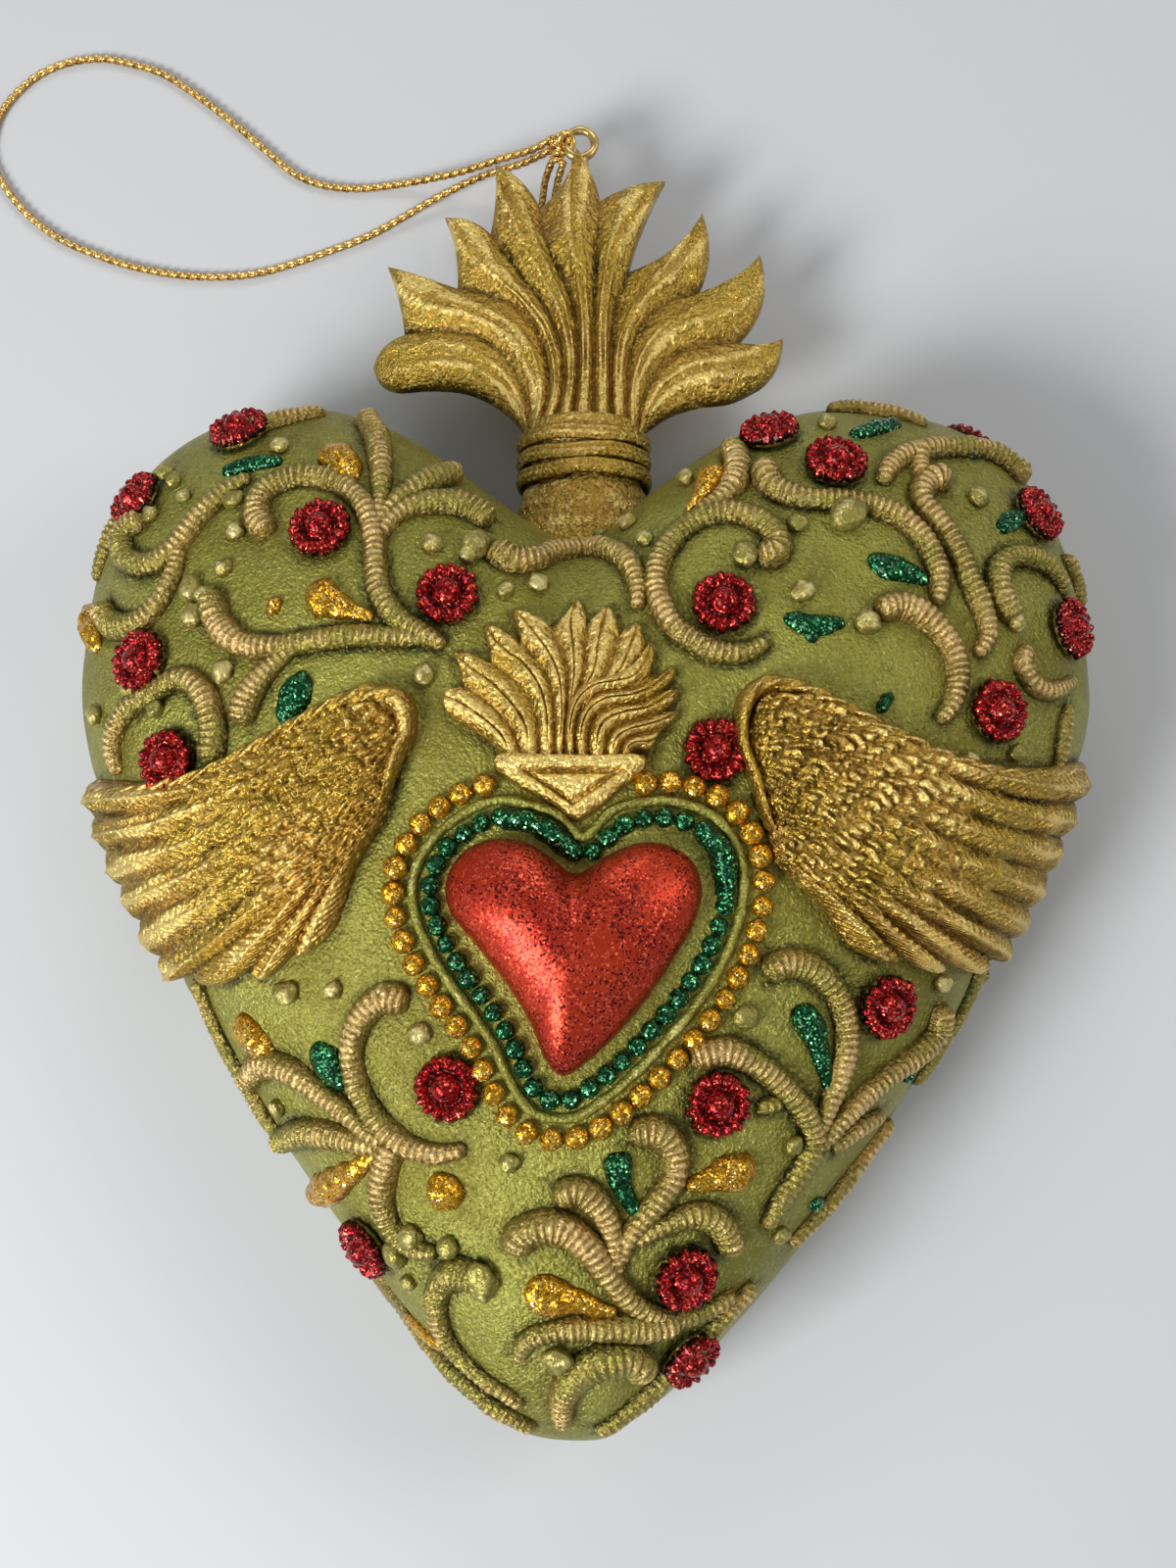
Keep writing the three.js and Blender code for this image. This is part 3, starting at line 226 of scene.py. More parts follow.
def polar_edge():
    """How far from the middle the outline lies, all the way round."""
    tables = []
    for side in (RIGHT_HALF, LEFT_HALF):
        line = half_outline(side)[::-1] - (0, CENTRE_Y)
        turn = np.arctan2(line[:, 1], line[:, 0])
        tables.append(np.interp(
            np.arctan2(np.sin(TURNS), np.abs(np.cos(TURNS))), turn, np.hypot(*line.T)
        ))
    return np.where(np.cos(TURNS) < 0, tables[1], tables[0])


def read_round(table, turn):
    """Values at some turns, from a table of values all the way round."""
    at = (turn / (2 * math.pi)) % 1 * len(table)
    low = np.floor(at).astype(int)
    part = at - low
    return table[low % len(table)] * (1 - part) + table[(low + 1) % len(table)] * part


EDGE = polar_edge()
blend = 2 * np.arange(BLEND_STEPS + 1) / BLEND_STEPS - 1
blend_weight = np.cos(blend * math.pi / 2) ** 2
SOFT_EDGE = sum(
    w * read_round(EDGE, TURNS + SOFTEN * b) for b, w in zip(blend, blend_weight)
) / blend_weight.sum()


def skin(spots):
    """The body's surface over a disc: its middle at the centre, its widest edge at radius 1 and
    its foot at radius 2."""
    turn = np.arctan2(spots[:, 1], spots[:, 0])
    rise = np.hypot(spots[:, 0], spots[:, 1])
    dome = np.minimum(rise, 1) * math.pi / 2
    share = np.sin(dome) ** (2 / ROUND_OUT)
    edge = read_round(EDGE, turn)
    soft = read_round(SOFT_EDGE, turn)
    drop = np.clip(rise, 1, 2) - 1
    radius = np.where(rise <= 1, share * (soft + (edge - soft) * share ** 3), edge - TUCK * drop ** 2)
    top = EDGE_Z + (DEPTH - EDGE_Z) * np.maximum(0, np.cos(dome)) ** (2 / ROUND_IN)
    z = np.where(rise <= 1, top, EDGE_Z * (1 - drop))
    return about_centre(radius, turn, z)


def spots_at(layout):
    """The disc spots under points of the drawing. A point past the edge goes down the side."""
    layout = np.asarray(layout, float).reshape(-1, 2)
    x = layout[:, 0] * np.where(layout[:, 0] < 0, LEFT_HALF["half"], RIGHT_HALF["half"]) / DRAWN_HALF
    y = layout[:, 1] - CENTRE_Y
    turn = np.arctan2(y, x)
    reach = np.hypot(x, y)
    edge = read_round(EDGE, turn)
    soft = read_round(SOFT_EDGE, turn)
    low, high = np.zeros(len(x)), np.ones(len(x))
    for _ in range(HALVINGS):
        share = (low + high) / 2
        past = share * (soft + (edge - soft) * share ** 3) > reach
        low, high = np.where(past, low, share), np.where(past, share, high)
    rise = np.where(
        reach < edge, np.arcsin(low ** (ROUND_OUT / 2)) * 2 / math.pi, 1 + (reach - edge) / EDGE_Z
    )
    return polar(rise, turn)


def tangents(spots):
    """The surface's point, its two slopes and its normal at disc spots."""
    e = SLOPE_STEP
    du = (skin(spots + (e, 0)) - skin(spots - (e, 0))) / (2 * e)
    dv = (skin(spots + (0, e)) - skin(spots - (0, e))) / (2 * e)
    return skin(spots), du, dv, unit(np.cross(du, dv))


def step_aside(spots, vectors):
    """Disc spots moved by short vectors along the surface."""
    _, du, dv, _ = tangents(spots)
    a, b, c = (du * du).sum(1), (du * dv).sum(1), (dv * dv).sum(1)
    p, q = (du * vectors).sum(1), (dv * vectors).sum(1)
    scale = 1 / (a * c - b * b)
    return spots + np.stack([(c * p - b * q) * scale, (a * q - b * p) * scale], axis=1)


def raised(spots, lift):
    """Points over disc spots, off the surface by a lift in millimetres."""
    point, _, _, normal = tangents(spots)
    return point + normal * np.asarray(lift)[:, None]


class Track:
    """A smooth line over the surface through stops of the drawing: x, y and perhaps a width."""

    def __init__(self, stops, closed=False):
        stops = [tuple(s) + (0,) * (3 - len(s)) for s in stops]
        stops = np.array(stops, float)
        disc = np.hstack([spots_at(stops[:, :2]), stops[:, 2:] / DRAWN_HALF])
        self.disc = smooth_curve(disc, closed)
        self.points = skin(self.disc[:, :2])
        self.far = along(self.points)
        self.length = self.far[-1]

    def at(self, share):
        """Spots, widths and headings at shares of the length."""
        far = np.clip(share, 0, 1) * self.length
        disc = look_up(far, self.far, self.disc)
        return disc[:, :2], disc[:, 2] * DRAWN_HALF, heading(far, self.far, self.points)

    def beside(self, share, across, lift):
        """Points beside the line, to its left by across and off the surface by lift."""
        spots, _, ahead = self.at(share)
        side = np.cross(tangents(spots)[3], ahead)
        side /= np.maximum(np.linalg.norm(side, axis=1, keepdims=True), 1e-9)
        return raised(step_aside(spots, side * across[:, None]), lift)


# Lines that lie on the body: beside them the body sinks a little and takes painted shade
OUTLINES = []


def nearness(points, lines, reach):
    """1 at a line, down to 0 past its reach."""
    tree = KDTree(len(lines))
    for i, spot in enumerate(lines):
        tree.insert(spot, i)
    tree.balance()
    gap = np.array([tree.find(spot)[2] for spot in points])
    return np.exp(-((gap / reach) ** 2))


# Making pieces. Their undersides sink into the body by so much
SINK = 0.2
RING_REACH = 4


def finish_mesh(name, bm, places, crest):
    """The mesh of a bmesh, its points moved to places in drawing millimetres. Its crest values,
    from 0 in a valley to 1 on a crest, tell its paint where to lie."""
    mesh = bpy.data.meshes.new(name)
    bm.to_mesh(mesh)
    bm.free()
    mesh.vertices.foreach_set("co", in_frame(places).astype(np.float32).ravel())
    layer = mesh.attributes.new("crest", "FLOAT", "POINT")
    layer.data.foreach_set("value", np.asarray(crest, np.float32))
    mesh.shade_smooth()
    mesh.update()
    return mesh


def add_piece(name, meshes, material, body="heart", replaces=()):
    """One object of one or more meshes, which rides on a body."""
    meshes = meshes if isinstance(meshes, list) else [meshes]
    whole = meshes[0]
    if len(meshes) > 1:
        bm = bmesh.new()
        for mesh in meshes:
            bm.from_mesh(mesh)
        whole = bpy.data.meshes.new(name)
        bm.to_mesh(whole)
        bm.free()
        for mesh in meshes:
            bpy.data.meshes.remove(mesh)
    whole.name = name
    whole.materials.append(material)
    piece = placed_object(name, whole)
    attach(piece, body)
    if replaces:
        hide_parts(*replaces)
    return piece


def spots_of(bm):
    """Where the points of a bmesh are."""
    return np.array([v.co[:] for v in bm.verts])


def slab(steps, across):
    """A closed sheet of two layers: x and y run from -1 to 1, and z is 0 below and 1 on top."""
    bm = bmesh.new()
    bmesh.ops.create_grid(bm, x_segments=steps, y_segments=across, size=1)
    new = bmesh.ops.extrude_face_region(bm, geom=bm.faces[:], use_keep_orig=True)["geom"]
    top = [item for item in new if isinstance(item, bmesh.types.BMVert)]
    bmesh.ops.translate(bm, vec=(0, 0, 1), verts=top)
    bmesh.ops.recalc_face_normals(bm, faces=bm.faces[:])
    return bm, spots_of(bm)


def spun(bm, around):
    """Turns all that a bmesh holds once round the z axis."""
    bmesh.ops.spin(
        bm, geom=bm.verts[:] + bm.edges[:], cent=(0, 0, 0), axis=(0, 0, 1), angle=2 * math.pi,
        steps=around, use_merge=True,
    )


def ring(around, sides):
    """A torus, and the turn and the section angle that say where each of its points goes."""
    bm = bmesh.new()
    upright = Matrix.Translation((RING_REACH, 0, 0)) @ Matrix.Rotation(math.pi / 2, 4, "X")
    bmesh.ops.create_circle(bm, segments=sides, radius=1, matrix=upright)
    spun(bm, around)
    bmesh.ops.recalc_face_normals(bm, faces=bm.faces[:])
    x, y, z = spots_of(bm).T
    return bm, np.arctan2(y, x) % (2 * math.pi), np.arctan2(z, np.hypot(x, y) - RING_REACH)


def tube(steps, sides):
    """A closed tube with flat ends, and each point's angle and its share of the way along."""
    bm = bmesh.new()
    bmesh.ops.create_cone(bm, cap_ends=True, segments=sides, radius1=1, radius2=1, depth=1)
    rails = [e for e in bm.edges if abs(e.verts[0].co.z - e.verts[1].co.z) > 0.5]
    bmesh.ops.subdivide_edges(bm, edges=rails, cuts=steps - 1, use_grid_fill=True)
    bmesh.ops.recalc_face_normals(bm, faces=bm.faces[:])
    x, y, z = spots_of(bm).T
    return bm, np.arctan2(y, x), z + 0.5


def ball(around, rings):
    """A ball of radius 1, and each point's turn and distance from the ball's axis."""
    bm = bmesh.new()
    bmesh.ops.create_uvsphere(bm, u_segments=around, v_segments=rings, radius=1)
    spots = spots_of(bm)
    return bm, spots, np.arctan2(spots[:, 1], spots[:, 0]), np.hypot(spots[:, 0], spots[:, 1])


def seat(x, y, heading, lift):
    """A place on the surface as a matrix in metres: z along the normal and x along the heading."""
    turn = math.radians(heading)
    spot, ahead = skin(spots_at([(x, y), (x + 0.2 * math.cos(turn), y + 0.2 * math.sin(turn))]))
    normal = tangents(spots_at([(x, y)]))[3][0]
    forward = ahead - spot
    forward = forward - normal * forward.dot(normal)
    forward /= np.linalg.norm(forward)
    left = np.cross(normal, forward)
    place = Matrix(np.column_stack([forward, left, normal]).tolist()).to_4x4()
    place.translation = in_frame(spot + normal * lift)
    return place


def seated(local, place):
    """Points of a piece's own, in the drawing's millimetres at its seat."""
    return local @ np.array(place.to_3x3()).T + np.array(place.translation) / MM - SHIFT


def round_end(far, length, width):
    """1 along a strip and down to 0 in a half circle at both of its ends."""
    room = np.maximum(width / 2, 1e-6)
    near = np.clip(np.minimum(far, length - far) / room, 0, 1)
    return np.sqrt(1 - (1 - near) ** 2)


def strip(track, steps, across):
    """A slab to lay along a track: whether each point is on top, its share of the way, its place
    across from -1 to 1, how far along it is, the track's width there, and its round ends."""
    bm, grid = slab(steps, across)
    share = (grid[:, 0] + 1) / 2
    far = share * track.length
    width = track.at(share)[1]
    return bm, grid[:, 2], share, grid[:, 1], far, width, round_end(far, track.length, width)


def over(top, lift):
    """The lift where a sheet has its upper side, and a little under the skin elsewhere."""
    return np.where(top > 0.5, lift, -SINK)


def roughen(places, size, seed, amount):
    """Moves places up and down by soft noise."""
    places[:, 2] += bumps(places, size, seed) * amount


def upper_rim(grid):
    """Which points of a slab lie on its upper side's border."""
    return (np.abs(grid[:, :2]).max(axis=1) > 0.999) & (grid[:, 2] > 0.5)


# Materials
def feed(tree, sockets, inputs):
    """Sets sockets to values, or links them to other nodes' outputs."""
    for name, value in inputs.items():
        if isinstance(value, bpy.types.NodeSocket):
            tree.links.new(value, sockets[name])
        else:
            sockets[name].default_value = value


def node(tree, kind, inputs, **settings):
    """A node with its settings and its inputs."""
    made = tree.nodes.new(kind)
    for name, value in settings.items():
        setattr(made, name, value)
    feed(tree, made.inputs, inputs)
    return made


def mixed(tree, share, first, second):
    made = node(tree, "ShaderNodeMix", {0: share, 6: first, 7: second}, data_type="RGBA")
    return made.outputs[2]


def math_node(tree, operation, first, second, clamp=False):
    made = node(tree, "ShaderNodeMath", {0: first, 1: second}, operation=operation, use_clamp=clamp)
    return made.outputs[0]


def ranged(tree, value, low, high, to_low=0.0, to_high=1.0):
    inputs = {"Value": value, "From Min": low, "From Max": high, "To Min": to_low, "To Max": to_high}
    return node(tree, "ShaderNodeMapRange", inputs).outputs[0]


def noise(tree, where, scale, detail, roughness=0.5):
    inputs = {"Vector": where, "Scale": scale, "Detail": detail, "Roughness": roughness}
    return node(tree, "ShaderNodeTexNoise", inputs).outputs["Fac"]


def vector_math(tree, operation, first, second=(0, 0, 0)):
    made = node(tree, "ShaderNodeVectorMath", {0: first, 1: second}, operation=operation)
    return made.outputs[0]


def object_space(tree):
    return node(tree, "ShaderNodeTexCoord", {}).outputs["Object"]


def crest_of(tree):
    """1 on what stands proud and 0 in the valleys, as each mesh says."""
    return node(tree, "ShaderNodeAttribute", {}, attribute_name="crest").outputs["Fac"]


def group(name, inputs, outputs):
    """An empty node group with named sockets, and its two end nodes."""
    tree = bpy.data.node_groups.new(name, "ShaderNodeTree")
    for kind, names in (("INPUT", inputs), ("OUTPUT", outputs)):
        for label, socket_type, *start in names:
            socket = tree.interface.new_socket(label, in_out=kind, socket_type="NodeSocket" + socket_type)
            if start:
                socket.default_value = start[0]
    return tree, tree.nodes.new("NodeGroupInput").outputs, tree.nodes.new("NodeGroupOutput").inputs


def cast_grain():
    """Fine pebbled grain and slow tone changes, as a sand casting has them."""
    tree, given, out = group(
        "cast grain", [("Scale", "Float", 1.0)],
        [("Height", "Float"), ("Tone", "Float"), ("Pits", "Float")],
    )
    where = object_space(tree)
    fine_scale, pebble_scale, pit_scale = (
        math_node(tree, "MULTIPLY", given["Scale"], cells) for cells in (2600.0, 1500.0, 620.0)
    )
    fine = noise(tree, where, fine_scale, 3.0)
    pebble = node(
        tree, "ShaderNodeTexVoronoi", {"Vector": where, "Scale": pebble_scale}, feature="SMOOTH_F1"
    ).outputs["Distance"]
    height = math_node(tree, "SUBTRACT", fine, math_node(tree, "MULTIPLY", pebble, 0.7))
    pits = ranged(tree, noise(tree, where, pit_scale, 6.0, 0.7), 0.64, 0.72)
    feed(tree, out, {"Height": height, "Tone": noise(tree, where, 95.0, 5.0), "Pits": pits})
    return tree


def flakes():
    """Glitter: cells that each lean their own way and have their own shade. A few cells are picked out for
    painted glints.
    """
    tree, given, out = group(
        "flakes", [("Size mm", "Float", 0.25), ("Lean", "Float", 0.8)],
        [("Normal", "Vector"), ("Shade", "Float"), ("Spark", "Float")],
    )
    scale = math_node(tree, "DIVIDE", 1000.0, given["Size mm"])
    cells = node(
        tree, "ShaderNodeTexVoronoi", {"Vector": object_space(tree), "Scale": scale}
    ).outputs["Color"]
    centred = vector_math(tree, "SUBTRACT", cells, (0.5, 0.5, 0.5))
    lean = node(
        tree, "ShaderNodeVectorMath", {0: centred, "Scale": given["Lean"]}, operation="SCALE"
    ).outputs[0]
    facing = node(tree, "ShaderNodeNewGeometry", {}).outputs["Normal"]
    tilted = vector_math(tree, "NORMALIZE", vector_math(tree, "ADD", facing, lean))
    shade, spark, _ = node(tree, "ShaderNodeSeparateColor", {0: cells}).outputs
    feed(tree, out, {"Normal": tilted, "Shade": shade, "Spark": ranged(tree, spark, 0.86, 0.9)})
    return tree


GRAIN = cast_grain()
FLAKES = flakes()


def with_group(tree, made, inputs):
    return node(tree, "ShaderNodeGroup", inputs, node_tree=made).outputs


def new_material(name):
    material = bpy.data.materials.new(name)
    material.use_nodes = True
    tree = material.node_tree
    return material, tree, tree.nodes["Principled BSDF"].inputs


def bump(tree, height, distance, more=None):
    """A bump normal, its distance in millimetres."""
    inputs = {"Height": height, "Distance": distance * MM, "Strength": 1.0, **(more or {})}
    return node(tree, "ShaderNodeBump", inputs).outputs[0]


def gilded(
    name, valley, face, rubbed, tint, metallic, relief, grain=1.2, rough=(0.3, 0.5), rub=0.5, sparkle=0.3
):
    """Antiqued metal paint: dark in its valleys, its face colour over most of it, and a paler metal rubbed
    over its crests in broken patches. Its fine facets glint, and a few of them are painted in the paler
    metal as painted glints."""
    material, tree, surface = new_material(name)
    cast = with_group(tree, GRAIN, {"Scale": grain})
    facets = with_group(tree, FLAKES, {"Size mm": 0.3, "Lean": sparkle})
    level = math_node(tree, "ADD", crest_of(tree), math_node(tree, "MULTIPLY", cast["Height"], 0.5))
    base = mixed(tree, ranged(tree, level, 0.06, 0.55), valley, face)
    base = mixed(tree, ranged(tree, cast["Tone"], 0.42, 0.66), base, tint)
    patchy = math_node(tree, "ADD", level, ranged(tree, cast["Tone"], 0.3, 0.7, -0.3, 0.3))
    base = mixed(tree, ranged(tree, patchy, 1.3 - rub, 1.55 - rub), base, rubbed)
    base = mixed(tree, math_node(tree, "MULTIPLY", cast["Pits"], 0.55), base, valley)
    # A few facets are painted in the paler metal as painted glints
    base = mixed(tree, math_node(tree, "MULTIPLY", facets["Spark"], sparkle), base, rubbed)
    feed(tree, surface, {
        "Base Color": base, "Metallic": metallic,
        "Roughness": ranged(tree, cast["Tone"], 0.3, 0.7, *rough),
        "Normal": bump(tree, cast["Height"], relief, {"Normal": facets["Normal"]}),
    })
    return material


def glitter(name, deep, bright, spark, size, lean, metallic, rough):
    """Loose glitter in clear glue: flakes of a size in millimetres that catch the light."""
    material, tree, surface = new_material(name)
    cells = with_group(tree, FLAKES, {"Size mm": size, "Lean": lean})
    shade = ranged(tree, cells["Shade"], 0.1, 0.95)
    # Painted shade: the flakes darken towards the deep colour where the crest value is low, on the beads'
    # undersides, at the paste's edges and in the gems' grooves
    lit = math_node(tree, "MULTIPLY", shade, ranged(tree, crest_of(tree), 0.05, 0.45))
    base = mixed(tree, lit, deep, bright)
    # A few flakes are painted in the spark colour as painted glints
    base = mixed(tree, cells["Spark"], base, spark)
    feed(tree, surface, {
        "Base Color": base, "Normal": cells["Normal"], "Metallic": metallic, "Roughness": rough,
        "Coat Weight": 0.15,
    })
    return material


BODY_PAINT = gilded(
    "green gold paint", valley=(0.045, 0.042, 0.008, 1), face=(0.31, 0.3, 0.055, 1),
    rubbed=(0.55, 0.55, 0.18, 1), tint=(0.22, 0.2, 0.03, 1), metallic=0.65, rough=(0.32, 0.46),
    grain=1.3, relief=0.26, rub=0.3, sparkle=0.3,
)
ANTIQUE_GOLD = gilded(
    "antique gold", valley=(0.038, 0.02, 0.003, 1), face=(0.47, 0.32, 0.055, 1),
    rubbed=(0.85, 0.64, 0.21, 1), tint=(0.4, 0.23, 0.045, 1), metallic=0.9, rough=(0.2, 0.36), grain=1.1,
    relief=0.28, rub=0.45, sparkle=0.42,
)
SCROLL_GOLD = gilded(
    "scroll gold", valley=(0.045, 0.04, 0.008, 1), face=(0.3, 0.26, 0.055, 1),
    rubbed=(0.7, 0.5, 0.22, 1), tint=(0.33, 0.22, 0.055, 1), metallic=0.8, rough=(0.26, 0.44), grain=1.2,
    relief=0.26, rub=0.5, sparkle=0.4,
)
BUD_PAINT = gilded(
    "bud paint", valley=(0.05, 0.042, 0.006, 1), face=(0.3, 0.27, 0.065, 1),
    rubbed=(0.6, 0.53, 0.22, 1), tint=(0.3, 0.21, 0.05, 1), metallic=0.7, grain=1.2, relief=0.16, rub=0.5,
)
RUBY = glitter(
    "ruby glitter", (0.02, 0.0, 0.001, 1), (0.52, 0.008, 0.011, 1), (0.95, 0.14, 0.08, 1), size=0.2,
    lean=0.5, metallic=0.85, rough=0.24,
)
EMERALD = glitter(
    "emerald glitter", (0.001, 0.01, 0.004, 1), (0.003, 0.13, 0.04, 1), (0.2, 0.8, 0.35, 1), size=0.2,
    lean=0.6, metallic=0.8, rough=0.24,
)
AMBER = glitter(
    "amber glitter", (0.22, 0.09, 0.002, 1), (0.9, 0.47, 0.014, 1), (1, 0.8, 0.3, 1), size=0.17, lean=0.5,
    metallic=0.85, rough=0.26,
)


def satin_red():
    """Red lacquer with fine dark specks under it, and bright specks that are painted glints."""
    material, tree, surface = new_material("satin red")
    cells = with_group(tree, FLAKES, {"Size mm": 0.2, "Lean": 0.3})
    cast = with_group(tree, GRAIN, {"Scale": 1.0})
    cloud = ranged(tree, noise(tree, object_space(tree), 160.0, 3.0), 0.4, 0.65, -0.1, 0.22)
    base = mixed(tree, cast["Tone"], (0.6, 0.06, 0.012, 1), (0.42, 0.014, 0.01, 1))
    dark = ranged(tree, math_node(tree, "ADD", cells["Shade"], cloud), 0.86, 0.9)
    base = mixed(tree, dark, base, (0.09, 0.002, 0.006, 1))
    base = mixed(tree, math_node(tree, "MULTIPLY", cells["Spark"], 0.7), base, (1, 0.16, 0.08, 1))
    feed(tree, surface, {
        "Base Color": base, "Normal": cells["Normal"], "Metallic": 0.75, "Roughness": 0.36,
        "Coat Weight": 0.08, "Coat Roughness": 0.3,
    })
    return material


def wire_metal(name, deep, bright, rough):
    """Bare drawn metal, with painted shade where its strands cross under each other."""
    material, tree, surface = new_material(name)
    streak = noise(tree, object_space(tree), 900.0, 4.0)
    level = math_node(tree, "ADD", crest_of(tree), ranged(tree, streak, 0.3, 0.7, -0.3, 0.3))
    feed(tree, surface, {
        "Base Color": mixed(tree, ranged(tree, level, 0.0, 0.8), deep, bright),
        "Normal": bump(tree, streak, 0.05), "Metallic": 0.95, "Roughness": rough,
    })
    return material


SATIN_RED = satin_red()
EYE_WIRE = wire_metal("eye wire", (0.3, 0.18, 0.05, 1), (0.66, 0.5, 0.2, 1), 0.34)
CORD_METAL = wire_metal("metallic cord", (0.22, 0.1, 0.02, 1), (0.92, 0.62, 0.2, 1), 0.26)

# The cord: a braid of four strands, knotted to the wire eye. Its stops are x, y and z
CORD_DIAMETER = 1.0
CORD_LOOP = [
    (-4.6, 84.1, 9.6), (-7, 83.5, 8.2), (-11, 83.6, 5.8), (-16, 83.2, 3.4), (-21, 83, 1.6), (-26, 82.6, 0.7),
    (-30, 82.3, 0.55), (-34.5, 82.8, 0.55), (-38, 84.3, 0.55), (-41.2, 87, 0.55), (-44.5, 90, 0.55),
    (-48, 93, 0.55), (-51.8, 96, 0.55), (-56, 98.8, 0.55), (-60, 100.2, 0.55), (-64, 101, 0.55),
    (-68.2, 100.5, 0.55), (-72, 98.8, 0.55), (-75, 96, 0.55), (-77, 92.8, 0.55), (-77.8, 89.5, 0.55),
    (-77.7, 86.5, 0.55), (-76.3, 83.5, 0.55), (-74.2, 80.5, 0.55), (-71.3, 77.5, 0.55), (-67.8, 75, 0.55),
    (-63.5, 73, 0.55), (-58.5, 71.3, 0.55), (-53, 70.2, 0.55), (-47.5, 69.9, 0.55), (-42.5, 70.4, 0.55),
    (-37.8, 71.8, 0.55), (-32.8, 73.7, 0.55), (-28.3, 75.6, 0.6), (-24, 78, 0.9), (-20, 80.2, 1.5),
    (-16, 81.9, 2.4), (-12.5, 82.7, 3.8), (-8.5, 82.8, 5.9), (-4.6, 83.2, 8.6),
]
CORD_TAILS = {
    "cord_tail_left": [
        (-4.2, 82.4, 8.6), (-5.3, 80.5, 6.6), (-5.8, 78.3, 4.8), (-6.2, 76, 2.8), (-6.4, 73.5, 1.1),
        (-6.3, 71, 0.6),
    ],
    "cord_tail_right": [
        (-3, 81.8, 8.6), (-3.8, 80, 6.6), (-4.3, 78, 4.8), (-4.7, 75.7, 2.8), (-4.9, 73, 1.1),
        (-4.7, 70.3, 0.6),
    ],
}
EYE_SPOT = (-1, 83.5, 9.5)
EYE_RADIUS = 1.85
WIRE_RADIUS = 0.55
LEG_LENGTH = 8
BRAID_PITCH = 2.6
BRAID_STRANDS = 4
BRAID_STEPS_PER_MM = 5
KNOT_CORD_RADIUS = 0.42


def braid(route):
    """Four strands that cross over and under each other round a line."""
    line = smooth_curve(route)
    far = along(line)
    strand_radius = CORD_DIAMETER * 0.3
    made = []
    for k in range(BRAID_STRANDS):
        way = 1 if k % 2 else -1
        bm, angle, share = tube(round(far[-1] * BRAID_STEPS_PER_MM), 6)
        at = share * far[-1]
        ahead = unit(heading(at, far, line))
        side = unit(np.cross((0, 0, 1), ahead))
        up = np.cross(ahead, side)
        turn = way * 2 * math.pi * at / BRAID_PITCH + k * math.pi / 2
        weave = 0.5 + 0.5 * np.cos(4 * math.pi * at / BRAID_PITCH + (k % 2) * math.pi)
        out = 0.54 * CORD_DIAMETER - strand_radius * (0.85 + 0.35 * weave)
        end = round_end(at, far[-1], 2 * strand_radius)
        places = look_up(at, far, line)
        for about, reach in ((turn, out), (angle, strand_radius)):
            around = side * np.cos(about)[:, None] + up * np.sin(about)[:, None]
            places = places + around * (reach * end)[:, None]
        # Where a strand passes under the others its crest value falls, which paints shade there
        made.append(finish_mesh("strand", bm, places, 1 - 0.8 * weave))
    return made


# Each turn's middle, its radius and how it leans, in degrees
KNOT_TURNS = [
    ((-2.8, 83.9, 9.1), 1.05, 20), ((-2.85, 83.6, 9.6), 1.15, -15), ((-2.9, 83.8, 10.1), 0.95, 55),
    ((-3.7, 83.7, 9.2), 0.8, 80), ((-4.1, 83.5, 9), 0.62, 100), ((-3.6, 82.5, 9), 0.72, 10),
    ((-3.9, 82, 8.6), 0.6, -10), ((-4.4, 84, 9.5), 0.5, 78), ((-3.6, 83.9, 9.7), 0.7, 66),
]


def knot():
    """Turns of the cord wound tight round one side of the eye, and round the cord's own ends."""
    made = []
    for k, (middle, radius, lean) in enumerate(KNOT_TURNS):
        bm, turn, section = ring(40, 10)
        size = KNOT_CORD_RADIUS
        out = radius - size * 0.4 + size * np.cos(section)
        flat = np.column_stack([polar(out, turn), size * np.sin(section)])
        tilt = np.array(Matrix.Rotation(math.radians(lean), 3, "Y") @ Matrix.Rotation(0.4 * k, 3, "X"))
        places = flat @ tilt.T + middle
        twist = bumps(places, 0.4, seed=k)
        places += (places - middle) * (0.07 * twist)[:, None]
        made.append(finish_mesh("turn", bm, places, 0.6 + 0.5 * twist))
    return made


cord_loop = add_piece(
    "braided_cord", braid(CORD_LOOP), CORD_METAL, "cord", ["cord_loop"]
)
cord_knot = add_piece("wound_knot", knot(), CORD_METAL, "cord", ["cord_knot"])
cord_tails = [
    add_piece("braided_" + name, braid(route), CORD_METAL, "cord", [name])
    for name, route in CORD_TAILS.items()
]


